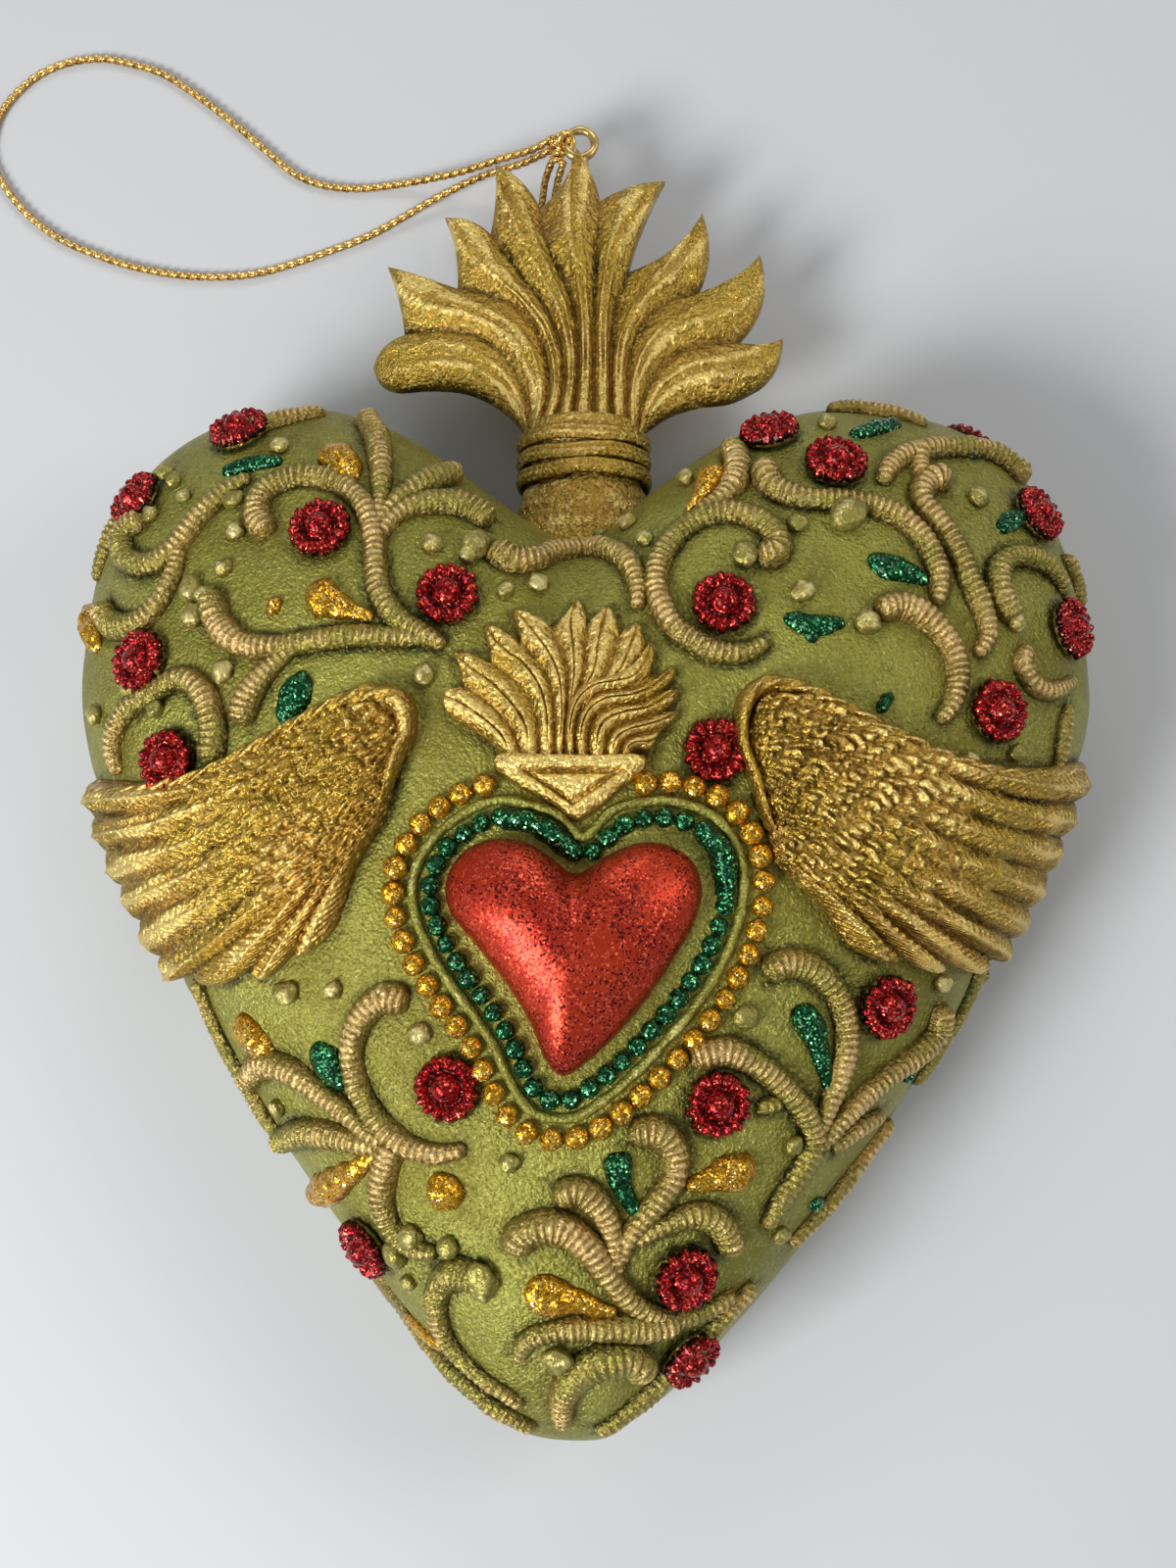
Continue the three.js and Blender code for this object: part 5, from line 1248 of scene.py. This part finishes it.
def beads(stops, radius, closed, seed, pitch=2.0):
    """Round beads side by side along a line, each a little different."""
    track = Track(stops, closed)
    count = round(track.length / (pitch * radius))
    bm = bmesh.new()
    share = (np.arange(count) + 0.5) / count
    centres = track.beside(share, 0 * share, 0.45 * radius + 0 * share)
    normals = tangents(track.at(share)[0])[3]
    wobble = bumps(centres, 0.8, seed)
    for centre, normal, change in zip(centres, normals, wobble):
        size = radius * (1 + 0.16 * change) * MM
        turn = Vector(normal).to_track_quat("Z", "Y").to_matrix().to_4x4()
        shape = Matrix.Diagonal((size, size * (1 - 0.1 * change), 0.85 * size, 1))
        place = Matrix.Translation(in_frame(centre)) @ turn @ shape
        bmesh.ops.create_uvsphere(bm, u_segments=18, v_segments=12, radius=1, matrix=place)
    spots = spots_of(bm) / MM
    rough = bumps(spots, 0.45, seed + 1)
    owner = np.repeat(np.arange(count), len(spots) // count)
    outward = unit(spots - SHIFT - centres[owner])
    up = (outward * normals[owner]).sum(1)
    places = spots - SHIFT + outward * (0.09 * rough)[:, None]
    # The crest value falls towards each bead's underside, which the glitter darkens as painted shade
    return finish_mesh("beads", bm, places, 0.5 + 0.5 * up)


def rope(stops, seed, rise=0.7):
    """A soft lumpy run of glitter paste."""
    track = Track(stops)
    steps = max(10, round(track.length * ROPE_STEPS_PER_MM))
    bm, top, share, t, _, width, end = strip(track, steps, 12)
    flat = track.beside(share, width / 2 * t, 0 * t)
    arch = np.sqrt(np.maximum(0, 1 - t ** 2))
    height = rise * width * arch * end * (1 + 0.22 * bumps(flat, 0.8, seed + 1))
    spread = width / 2 * t * (0.3 + 0.7 * end) * (1 + 0.16 * bumps(flat, 1.1, seed))
    places = track.beside(share, spread, over(top, height))
    roughen(places, 0.3, seed + 2, 0.05 * top)
    # The crest value falls at the paste's edges and ends, which the glitter darkens as painted shade
    return finish_mesh("rope", bm, places, np.clip(1.3 * arch * end, 0, 1) * top)


add_piece(
    "green_beads", [
        beads(BEAD_LINE, GREEN_BEAD, True, 71),
        rope([(-9.4, -7.9, 2), (-6.2, -8.2, 2.4), (-3.2, -10, 2.6), (-0.9, -11.6, 1.8)], 72),
        rope([(11.4, -8.9, 2), (13.5, -11.2, 2.8), (14.1, -14, 2.6), (14, -17, 1.6)], 73),
    ], EMERALD, replaces=["green_bead_row"],
)
amber_line = line_out(AMBER_OUT)[2:-2]
add_piece(
    "amber_beads", beads(amber_line, AMBER_BEAD, False, 75, pitch=2.05), AMBER,
    replaces=["amber_bead_row"],
)


def rim():
    """The plain cord of metal between the two rows of beads."""
    track = Track([tuple(p) for p in line_out(RIM_OUT)], True)
    bm, turn, section = ring(260, 12)
    wave = bumps(np.column_stack([polar(10, turn), 0 * turn]), 0.6, 77)
    size = 1 + 0.22 * wave
    across = RIM_WIDTH / 2 * 1.25 * np.cos(section) * size
    places = track.beside(turn / (2 * math.pi), across, 0.2 + 0.75 * np.sin(section) * size)
    return finish_mesh("rim", bm, places, 0.3 + 0.5 * np.sin(section) + 0.2 * wave)


add_piece("cast_rim", rim(), BODY_PAINT, replaces=["heart_rim"])

SMALL_HEART = [
    (-1.3, -13.6), (1.8, -11.9), (5, -10.5), (8, -10.6), (10.6, -12.2), (11.6, -15), (10.8, -18.5),
    (8.3, -22.8), (4.5, -28), (0.8, -31.8), (-2.6, -34), (-4.2, -32.4), (-5.6, -29), (-8, -25),
    (-11.5, -20.5), (-14, -17.2), (-14.3, -14), (-12.5, -11.2), (-9.5, -10), (-6.5, -10.3), (-3.8, -11.9),
]
SMALL_HEART_MIDDLE = (-1.6, -19.5)
SMALL_HEART_RISE = 6.2


def pad(outline, middle, rise, power, detail, rings=34):
    """A swelling inside an outline, as a squashed ball laid on the surface."""
    bm, spots, turn, flat = ball(120, rings)
    edge = smooth_curve(outline, closed=True) - middle
    angle = np.unwrap(np.arctan2(edge[:, 1], edge[:, 0]))
    reach = np.hypot(*edge.T)
    if angle[-1] < angle[0]:
        angle, reach = angle[::-1], reach[::-1]
    radius = np.interp(angle[0] + (turn - angle[0]) % (2 * math.pi), angle, reach)
    layout = np.array(middle) + polar(1, turn) * (radius * flat)[:, None]
    height = detail(layout, rise * np.maximum(0, 1 - flat ** power) ** (1 / power))
    under = np.where(spots[:, 2] < -1e-4, -SINK, 0.0)
    lift = np.where(spots[:, 2] > 1e-4, height, under)
    return finish_mesh("pad", bm, raised(spots_at(layout), lift), np.clip(height / rise, 0, 1))


def heart_crease(layout, height):
    """A soft crease down from the cleft between the two lobes."""
    x, y = layout.T
    near = np.exp(-((x + 1.4 + 0.05 * (y + 14)) / 2.2) ** 2)
    return height * (1 - 0.34 * near * np.clip((y + 23) / 9, 0, 1) ** 1.5)


add_piece(
    "puffed_red_heart",
    pad(SMALL_HEART, SMALL_HEART_MIDDLE, SMALL_HEART_RISE, 2.2, heart_crease),
    SATIN_RED, replaces=["red_heart"],
)

COLLAR = [
    (-9.4, -1.6), (-9.4, -2.8), (-6.8, -4.8), (-3.6, -6.5), (-1, -8.2), (1.2, -6.9), (3.6, -4.8),
    (5.9, -2.8), (5.9, -1.8), (0, -1.6), (-5, -1.5),
]
COLLAR_MIDDLE = (-1.6, -3.8)
COLLAR_RISE = 2.7


def collar_bands(layout, height):
    """A raised top band, and a V that is let in under it."""
    x, y = layout.T
    inner = np.maximum(0.72 * np.abs(x + 1.6) - (y + 6.6), y + 3.4)
    groove = np.exp(-((inner / 0.28) ** 2))
    return height * (0.86 + 0.14 * np.clip((y + 3.2) / 0.3, 0, 1) - 0.24 * groove + 0.06 * (inner < 0))


add_piece(
    "folded_collar", pad(COLLAR, COLLAR_MIDDLE, COLLAR_RISE, 8, collar_bands, rings=80), ANTIQUE_GOLD,
    replaces=["flame_collar"],
)

# The flames over the small heart: a fan that parts to the left and upwards, and one that lies over
# it and bends to the right
UPPER_LINES = [
    [(-8.4, -1.9), (-9.8, -0.2), (-11.8, 1.4), (-13.7, 2.6), (-14.7, 3.7)],
    [(-7.6, -1.9), (-9, 0.8), (-11.2, 2.8), (-13.3, 4.3), (-15.1, 5.1)],
    [(-6.8, -1.9), (-7.5, 0.8), (-9.4, 3.3), (-11.8, 5.4), (-13.7, 6.5)],
    [(-5.9, -1.9), (-6.4, 1.6), (-8, 4.2), (-10.2, 6.5), (-12.3, 8.1), (-14, 9.8)],
    [(-5, -1.9), (-5.3, 2.5), (-6.6, 5.5), (-9, 7.7), (-11.2, 9.2)],
    [(-4.2, -1.9), (-4.2, 2.5), (-5, 5.7), (-6.8, 8.4), (-9.1, 10.3), (-10.9, 12.9)],
    [(-3.5, -1.9), (-3.5, 3.5), (-4.3, 6.9), (-5.9, 9.4), (-8.2, 11.5)],
    [(-2.9, -1.9), (-2.7, 3.9), (-3.3, 7.5), (-4.6, 10.1), (-6.3, 12.5), (-8, 14.7)],
    [(-2.5, -1.9), (-2.2, 4.3), (-2.3, 8.1), (-3.4, 11.1), (-4.4, 13.9)],
    [(-2.2, -1.9), (-1.8, 4.3), (-1.5, 7.5), (-1.7, 10.5), (-1.9, 13.3), (-1.2, 16.2)],
    [(-1.9, -1.9), (-1.4, 4.1), (-0.4, 7.5), (-0.3, 10.5), (0, 14.1)],
    [(-1.7, -1.9), (-1, 4.1), (0.7, 7.5), (1.2, 10.7), (2.3, 15.3)],
    [(-1.5, -1.9), (-0.6, 4.1), (2, 7.5), (2.9, 10.3), (3.9, 13.1)],
    [(-1.3, -1.9), (-0.2, 3.9), (3.2, 7.3), (4.5, 10.3), (5.4, 13.1)],
    [(-1.1, -1.9), (0.2, 3.7), (4.5, 7.1), (5.9, 9.3), (6.3, 11.1)],
]
UPPER_BULGES = [0.2, 0.4, -0.2, 0.4, -0.2, 0.4, -0.2, 0.4, -0.2, 0.4, 0.2, 0.2, 0.2, 0.2]
RIGHT_LINES = [
    [(-2.4, -1.9), (-2.5, 1.7), (-2.2, 4.1), (-0.8, 6.2), (1.8, 7.1), (4.9, 7.5), (5.4, 8.3)],
    [(-1.8, -1.9), (-1.8, 1.7), (-1.1, 4), (0.7, 5.6), (3.1, 6.2), (5, 6.9), (6.1, 8.7), (6.7, 10.9)],
    [(-1.3, -1.9), (-1.3, 1.5), (-0.5, 3.6), (1.5, 5), (3.9, 5.4), (5.9, 6.4), (7.2, 8)],
    [(-0.7, -1.9), (-0.6, 1.3), (0.2, 3), (2.1, 4.3), (4.5, 4.7), (6.8, 5.8), (9.2, 8.1)],
    [(0.1, -1.9), (0.1, 0.8), (0.9, 2.5), (2.9, 3.6), (5.3, 4), (8.6, 6.1)],
    [(0.9, -1.9), (1.1, 0.6), (1.9, 2), (3.9, 2.9), (6.3, 3.5), (9.4, 5.7)],
    [(1.7, -1.9), (2.1, 0.3), (3, 1.4), (4.9, 2.1), (6.7, 2.7), (8.5, 3.7)],
    [(2.4, -1.9), (2.9, 0), (4.1, 0.9), (5.9, 1.5), (7.5, 2.1), (9.3, 3.1)],
    [(3.2, -1.9), (3.6, -0.4), (4.6, 0.4), (6.1, 0.8), (8.2, 1.5)],
    [(3.8, -1.9), (4.2, -0.8), (5.1, -0.3), (6.4, -0.1), (7, 0.3)],
    [(4.3, -1.9), (4.6, -1.2), (5.2, -1), (5.8, -1.1), (6.2, -0.9)],
]
RIGHT_BULGES = [0.1, 0.4, -0.1, 0.4, -0.1, 0.4, -0.1, 0.3, 0, 0.2]


def inner_fan(lines, bulges, heights, seed):
    """A fan of low flames on the surface, each of two strands with a thin groove between them."""
    count = len(lines) - 1
    bm, grid = slab(80, 12 * count)
    share = 1 - (1 - (grid[:, 0] + 1) / 2) ** 1.3
    across = (grid[:, 1] + 1) / 2 * count
    place, gap = fan_places(lines, bulges, share, across, 0.08)
    edge = np.minimum(
        round_over(1.4 * np.minimum(across, count - across), 1.1), round_over((1 - share) * 16, 0.9)
    )
    strands = np.exp(-((gap / 0.16) ** 2)) * np.clip(5 * share - 0.3, 0, 1)
    fold = np.maximum(0, 1 - gap ** 2.2) ** 0.7
    shape = 0.55 + 0.45 * fold - 0.26 * strands
    height = heights[0] + (heights[1] - heights[0]) * share
    height *= shape * (0.15 + 0.85 * edge) * (0.6 + 0.4 * np.clip(5 * share, 0, 1))
    spots = spots_at(place)
    rough = bumps(np.column_stack([place, 0 * share]), 0.55, seed) * (0.05 + 0.1 * share ** 2)
    OUTLINES.append(skin(spots[upper_rim(grid)]))
    places = raised(spots, over(grid[:, 2], height + rough))
    return finish_mesh("fan", bm, places, np.clip(1.5 * shape - 0.55 + rough, 0, 1) * grid[:, 2])


upper_fan = inner_fan(UPPER_LINES, UPPER_BULGES, (2.4, 1.3), 81)
right_fan = inner_fan(RIGHT_LINES, RIGHT_BULGES, (3.3, 1.7), 85)
add_piece(
    "inner_blades", [upper_fan, right_fan], ANTIQUE_GOLD, replaces=["inner_flames"]
)

# Gems in scalloped settings, at x and y
STUDS = [
    (-39.2, 39), (-50.6, 31.6), (-28.5, 24.4), (-14.7, 16.3), (-48, 11.1), (-44.3, -0.2), (27.2, 33),
    (20.5, 38), (45.5, 42.4), (50.6, 29.6), (53.6, 16.2), (14.3, 15.3), (43.6, 5), (13.2, -0.7), (31, -26.2),
    (-14, -35), (13, -36.6), (-23, -50.8), (9.8, -53.7), (10.4, -62),
]
STUD_RADIUS = 3.3
GEM_RADIUS = 3.5
PETALS = 15
GEM_DOME_REACH = 0.45
PETAL_MIDDLE = 0.76
PETAL_HALF = 0.24


def setting(place, seed):
    """A thin low cup that shows between the petals of its gem."""
    bm, spots, turn, flat = ball(90, 16)
    notch = np.abs(np.sin(PETALS * turn / 2 + seed))
    z = np.where(spots[:, 2] > 0, 0.55 * np.maximum(0, 1 - flat ** 5) ** 0.5, -0.3)
    radius = flat * STUD_RADIUS * (1 - 0.05 * notch)
    places = seated(np.column_stack([polar(radius, turn), z]), place)
    OUTLINES.append(places[flat > 0.99])
    return finish_mesh("setting", bm, places, 0.3 + 0.3 * notch)


def gem(place, seed):
    """A rosette of glitter: a smooth dome in the middle of a ring of rough petals."""
    bm, spots, turn, flat = ball(120, 40)
    petal = np.abs(np.cos(PETALS * turn / 2 + seed))
    jitter = bumps(np.column_stack([polar(3, turn), 0 * turn + seed]), 0.5, seed)
    radius = flat * GEM_RADIUS * (1 - 0.12 * (1 - petal ** 0.6) * flat ** 4 + 0.07 * jitter * flat)
    dome = np.sqrt(np.maximum(0, 1 - (flat / GEM_DOME_REACH) ** 2))
    leaf = np.sqrt(np.maximum(0, 1 - ((flat - PETAL_MIDDLE) / PETAL_HALF) ** 2))
    leaf *= 0.35 + 0.65 * petal ** 0.6
    shape = np.where(flat < 0.47, 0.4 + 1.5 * dome, 0.15 + leaf)
    height = 0.4 + shape * np.clip((1 - flat) / 0.08, 0, 1) ** 0.5
    local = np.column_stack([polar(radius, turn), height])
    rough = bumps(local, 0.32, seed)
    local[:, 2] += 0.14 * rough * np.clip((flat - 0.3) * 3, 0.15, 1)
    local[:, 2] = np.where(spots[:, 2] > 0, local[:, 2], 0.1)
    # The crest value falls in the groove round the dome and at the rim, which the glitter darkens as painted
    # shade
    crest = np.clip((height - 0.6) / 0.9, 0, 1) + 0.15 * rough
    return finish_mesh("gem", bm, seated(local, place), crest)


for i, (x, y) in enumerate(STUDS):
    place = seat(x, y, heading=37 * i, lift=0.3)
    node_name = f"ruby_stud_{i + 1}"
    add_piece(f"gem_setting_{i + 1}", setting(place, i), SCROLL_GOLD, replaces=[node_name])
    add_piece(f"glitter_gem_{i + 1}", gem(place, 3 * i + 1), RUBY, replaces=[node_name])

# Leaves and drops of glitter paste: stops x, y and width
LEAVES = {
    "amber_leaf_crest": [(-28.6, 35.8, 2.6), (-27.6, 34.2, 4.2), (-26.2, 32.4, 3.8), (-25.2, 30.8, 1.6)],
    "amber_leaf_tail": [(-29.6, 17.6, 3.2), (-28, 16.6, 4.6), (-26, 15.4, 2.8), (-22.4, 13.9, 1.2)],
    "amber_leaf_rim": [(-57, 20.5, 2), (-56, 18, 3.6), (-55, 15.8, 3.2), (-54, 14, 1.6)],
    "amber_leaf_foot": [(-6.2, -54.5, 3.2), (-4, -55.6, 4.4), (-1, -56.2, 2.8), (3, -57.2, 1.2)],
    "green_leaf_left": [(-29.6, 8.4, 1.4), (-30.2, 6.4, 3.2), (-31, 4.2, 3.2), (-31.3, 2.4, 1.6)],
    "green_leaf_right": [(30, 21.4, 1.4), (32, 20.4, 3), (34.4, 19.8, 2.6), (36.6, 18.9, 1.4)],
    "green_leaf_lower": [(3, -41.4, 3.2), (3.1, -43.4, 2.8), (3.7, -45.4, 2), (5, -47.6, 1.4)],
}
for i, (name, stops) in enumerate(LEAVES.items()):
    amber = name.startswith("amber")
    add_piece(
        "glitter_" + name, rope(stops, 200 + 3 * i, rise=0.4), AMBER if amber else EMERALD,
        replaces=[name],
    )
MORE_AMBER = [
    [(-34, 16, 2), (-32.4, 15.6, 2.4)], [(-54, -0.6, 1.6), (-53, -1.6, 2.2)],
    [(14.4, 33.4, 2), (13.6, 31.4, 3.4), (12.2, 29, 2), (10.8, 27.2, 1)],
    [(-37, -27, 2.6), (-35, -29.4, 3.8), (-33, -31.5, 2.2)],
    [(-29.4, -45.2, 2.6), (-27.2, -44.8, 4), (-24, -43, 2.4), (-21.5, -41.4, 1.2)],
    [(-14.2, -47.2, 3.4), (-14.4, -45, 4.4), (-14.2, -43.4, 3.2)],
    [(17.2, -42.6, 2.6), (14.6, -43.4, 4.2), (12, -44.2, 2.6), (9.8, -44.8, 1.2)],
    [(-20.5, -57, 1.6), (-17.8, -59.4, 2), (-15, -61.5, 1.4)], [(24.8, -47, 1.8), (26, -47, 2)],
]
MORE_EMERALD = [
    [(-40.5, 33.2, 1.4), (-37, 33.8, 2.2), (-33.5, 34, 1.4)],
    [(-14.4, 28.4, 1.2), (-13, 28.3, 1.7), (-11.6, 28, 1)],
    [(29.5, 37.5, 1.6), (32.4, 39, 2.4), (35.5, 40.5, 1.6)],
    [(20.6, 14, 1.6), (23.6, 13.2, 2.6), (27.2, 13.6, 1.4)], [(23.9, 13.6, 2.2), (23.4, 11.2, 1.2)],
    [(30.6, 5.4, 3.2), (31.8, 4.6, 3.4)], [(45.5, 26.5, 1.6), (47.5, 28.2, 2.6), (49.5, 29.5, 1.4)],
    [(-28.2, -30.2, 2.4), (-26.6, -32.4, 3.6), (-24.6, -35, 1.6)],
    [(21, -27, 2), (22.6, -28.2, 3.6), (23.8, -31, 2.2), (25, -35, 1.2)],
    [(23.4, -46.6, 1.8), (24.8, -46.4, 1.8)], [(34, -33.2, 1.8), (35, -32.8, 1.8)],
]
add_piece(
    "amber_drops", [rope(s, 300 + i, rise=0.42) for i, s in enumerate(MORE_AMBER)], AMBER
)
add_piece(
    "emerald_drops", [rope(s, 340 + i, rise=0.42) for i, s in enumerate(MORE_EMERALD)], EMERALD,
)

# Small vines among the scrolls: stops x, y and width. Buds: x, y and how wide
SPRIGS = [
    [(48, 13, 1.2), (47, 11, 2), (47.8, 9, 2.2), (50, 8.2, 2.2), (52, 9, 2), (54, 10.5, 1.2)],
    [(53, 7.5, 1), (52.5, 5, 1.8), (52, 2, 1.8), (51.5, 0, 1)],
    [(31.5, -37, 1.2), (28.5, -38.7, 2), (25.5, -41, 1.6)],
    [(17, -37, 1.2), (18.6, -36.6, 1.8), (20, -36.5, 1.2)],
    [(54.4, 26, 1.6), (56.2, 23.4, 2.2), (56.8, 20.6, 1.6)],
    [(-50.6, 34.2, 1.6), (-53.2, 30.4, 2.2), (-55, 26.8, 2.2), (-56, 23.4, 1.4)],
    [(-42, -22.5, 1.4), (-40.4, -27, 1.8), (-37.8, -32, 2), (-35, -36.6, 2.2), (-32.4, -40.6, 1.6)],
    [(-25.8, -49.5, 1.4), (-22.8, -54, 1.8), (-18.8, -59, 2), (-14.4, -63.6, 2.2), (-9.8, -67.2, 2.2),
     (-5.4, -69.6, 1.6)],
    [(43.4, -19.5, 1.4), (41.8, -24.5, 2), (39, -29.2, 2.2), (35.8, -33.6, 1.6)],
    [(33, -37.4, 1.4), (29.4, -42, 2), (25.6, -46.4, 2.2), (21.4, -50.8, 1.6)],
    [(17.4, -54.6, 1.6), (13.4, -58.8, 2.2), (9.2, -63.2, 2.2), (5, -67, 2.2), (0.8, -69.8, 1.6)],
    [(-30, 42.6, 1.2), (-34, 41.2, 2.2), (-37.6, 39.6, 2.4), (-40.4, 37.6, 1.6)],
    [(27.6, 43.4, 1.2), (31, 43.4, 2.2), (35, 42.6, 2.2), (39, 41, 1.4)],
]
add_piece("small_sprigs", [strand(s, 380 + i) for i, s in enumerate(SPRIGS)], SCROLL_GOLD)
BUDS = {
    "left": [
        (-16.5, 22.5, 2.4), (-12, 22.3, 3.6), (-8.7, 17, 2.2), (-38, 25, 2.4), (-38.5, 29, 2.4),
        (-46, 33, 2.2), (-44.5, 30.5, 2), (-34, 36, 2.2), (-38.5, 8.8, 2.6), (-54, 6.5, 2.4),
        (-48.5, 29, 2.2), (-46, 5.5, 2.2), (-42, 15.5, 2.8), (-17, 7.5, 2.6), (-47.5, 34.5, 2.6),
        (-52, 31, 2.6), (-42.4, 18.6, 3.2), (-40.8, 17.6, 2.6), (-39, 20.6, 2.2), (-12.6, 21, 2.4),
        (-49.2, 8.6, 2.6), (-46.6, 9.6, 2.2),
    ],
    "right": [
        (-5.3, 18, 2.4), (6.3, 23.7, 2.2), (16.7, 21, 3.2), (22.5, 25, 2.4), (22.7, 17, 2.8),
        (22, 37.5, 2.2), (27, 39.5, 2.4), (43.2, 30, 2.6), (28, 26, 4.2), (46.5, 15.5, 2.4),
        (40.5, -0.5, 2.2), (46, 1, 2.2), (52.5, 36, 2.6), (11, 32, 2.4), (29.6, 13.6, 2.8), (4.5, 26.5, 2.2),
        (1.5, 27, 2),
    ],
    "lower": [
        (-31, -25, 3), (-26, -25, 2.2), (-32.6, -36.4, 2.2), (-17, -29.5, 2.4), (-18, -49.8, 3),
        (-14, -50.7, 2.6), (-18.4, -54.4, 2), (-7.8, -42.5, 2.2), (-6.5, -50.5, 2.4), (-10.5, -54, 4),
        (-3, -61.7, 3.4), (16, -28, 3), (21, -40.5, 2.2), (28.5, -43, 2.2), (37.5, -23.5, 2.4),
        (43.5, -21.5, 2.2), (-19.6, -51.6, 3.2), (-20.4, -25.6, 2.8), (20, -49.5, 2.2),
    ],
}


def buds(places, seed):
    """Small cast balls, a little flattened and each with its own lumps."""
    meshes = []
    for i, (x, y, across) in enumerate(places):
        bm, spots, _, _ = ball(24, 16)
        lump = bumps(spots, 0.6, seed + i)
        local = spots * (across / 2, across / 2 * 0.88, across / 2 * 0.7) * (1 + 0.2 * lump)[:, None]
        world = seated(local, seat(x, y, heading=51 * i, lift=0.18 * across))
        meshes.append(finish_mesh("bud", bm, world, 0.45 + 0.4 * spots[:, 2] + 0.2 * lump))
    return meshes


for order, (name, places) in enumerate(BUDS.items()):
    add_piece("cast_buds_" + name, buds(places, 400 + 50 * order), BUD_PAINT)

# The hollow body, in rings of points from the middle of its dome
DOME_RINGS = 120
SIDE_RINGS = 22
HOLLOW_RINGS = 12
BODY_TURNS = 440
BROAD_GRAIN = 0.07
FINE_GRAIN = 0.03
SHADE_AND_GROOVE_REACH = 0.75
GROOVE_DEPTH = 0.16


def body_mesh():
    """The puffed skin, its foot and the hollow inside, spun as a disc and laid on the form."""
    bm = bmesh.new()
    edge_ring = DOME_RINGS + SIDE_RINGS
    line = [bm.verts.new((k, 0, 0)) for k in range(edge_ring + 5 + HOLLOW_RINGS)]
    for a, b in zip(line, line[1:]):
        bm.edges.new((a, b))
    spun(bm, BODY_TURNS)
    bmesh.ops.remove_doubles(bm, verts=bm.verts[:], dist=1e-4)
    spots = spots_of(bm)
    turn = np.arctan2(spots[:, 1], spots[:, 0])
    k = np.round(np.hypot(spots[:, 0], spots[:, 1]))
    down = np.minimum(k - DOME_RINGS, SIDE_RINGS) / SIDE_RINGS
    rise = np.where(k <= DOME_RINGS, k / DOME_RINGS, 1 + down)
    way = polar(1, turn)
    places = skin(way * rise[:, None])
    grain = bumps(places, 4, 5) * BROAD_GRAIN + bumps(places, 0.8, 6) * FINE_GRAIN
    normal = tangents(way * np.clip(rise, 0.002, 1.98)[:, None])[3]
    settle = np.clip((edge_ring - k) / 12, 0, 1)
    # Beside the pieces' lines the skin sinks a little, and the crease also paints shade there
    crease = nearness(places, np.vstack(OUTLINES), SHADE_AND_GROOVE_REACH) * settle
    places += normal * (grain * settle - GROOVE_DEPTH * crease)[:, None]
    edge = read_round(EDGE, turn)
    recess = TUCK + FOOT_RIM
    foot = [(recess, 0), (recess, PLATE_TOP), (recess + LEDGE, PLATE_TOP)]
    for step, (inset, z) in enumerate(foot, start=1):
        here = k == edge_ring + step
        places[here] = about_centre(edge - inset, turn, z)[here]
    hollow = k > edge_ring + 3
    shell = skin(way * np.clip(1 - (k - edge_ring - 4) / HOLLOW_RINGS, 0, 1)[:, None])
    reach = np.hypot(shell[:, 0], shell[:, 1] - CENTRE_Y) * (1 - WALL / edge)
    z = EDGE_Z + (shell[:, 2] - EDGE_Z) * (DEPTH - WALL - EDGE_Z) / (DEPTH - EDGE_Z)
    places[hollow] = about_centre(reach, turn, z)[hollow]
    # The crease lowers the crest value, so the paint beside the pieces is darkened as painted shade
    return finish_mesh("puffed_body", bm, places, 0.5 + 1.5 * grain - 0.55 * crease)


body_shell = body_mesh()
joined = bmesh.new()
joined.from_mesh(body_shell)
bmesh.ops.remove_doubles(joined, verts=joined.verts[:], dist=1e-6)
bmesh.ops.recalc_face_normals(joined, faces=joined.faces[:])
joined.to_mesh(body_shell)
joined.free()
add_piece("puffed_body", body_shell, BODY_PAINT, replaces=["heart_shell"])
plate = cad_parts["back_plate"]
plate.data.materials.clear()
plate.data.materials.append(BODY_PAINT)


# The floor, the light and the sky
floor_mesh = bpy.data.meshes.new("floor")
floor_bm = bmesh.new()
bmesh.ops.create_grid(floor_bm, x_segments=1, y_segments=1, size=2)
floor_bm.to_mesh(floor_mesh)
floor_bm.free()
floor = placed_object("floor", floor_mesh)
floor_paint, floor_tree, floor_surface = new_material("pale floor")
feed(floor_tree, floor_surface, {"Base Color": (0.62, 0.64, 0.67, 1), "Roughness": 0.75})
floor_mesh.materials.append(floor_paint)


def softbox(name, place, aim, size, power, tone):
    """A rectangular lamp at a place, turned to what it lights."""
    lamp = bpy.data.lights.new(name, "AREA")
    lamp.shape = "RECTANGLE"
    lamp.size, lamp.size_y = size
    lamp.energy = power
    lamp.color = tone
    box = placed_object(name, lamp)
    box.location = place
    box.rotation_euler = (Vector(aim) - Vector(place)).to_track_quat("-Z", "Y").to_euler()


softbox("key_softbox", (-0.34, -0.3, 0.38), (0, -0.01, 0.02), (0.2, 0.2), 3.2, (1, 0.99, 0.96))
softbox("fill_softbox", (0.5, 0.1, 0.4), (0, 0, 0.02), (0.3, 0.3), 0.9, (1, 0.9, 0.78))
softbox("top_softbox", (0.0, 0.5, 0.4), (0, 0.02, 0.02), (0.4, 0.2), 0.8, (1, 0.95, 0.85))

world = bpy.data.worlds.new("studio")
bpy.context.scene.world = world
world.use_nodes = True
sky = world.node_tree
background = sky.nodes["Background"].inputs
path = node(sky, "ShaderNodeLightPath", {}).outputs
seen = math_node(sky, "ADD", path["Is Camera Ray"], path["Is Glossy Ray"], clamp=True)
seen = math_node(sky, "ADD", seen, path["Is Transmission Ray"], clamp=True)
feed(sky, background, {
    "Color": mixed(sky, seen, (0.8, 0.85, 0.95, 1), (0.86, 0.88, 0.9, 1)),
    "Strength": ranged(sky, seen, 0.0, 1.0, 0.3, 0.4),
})
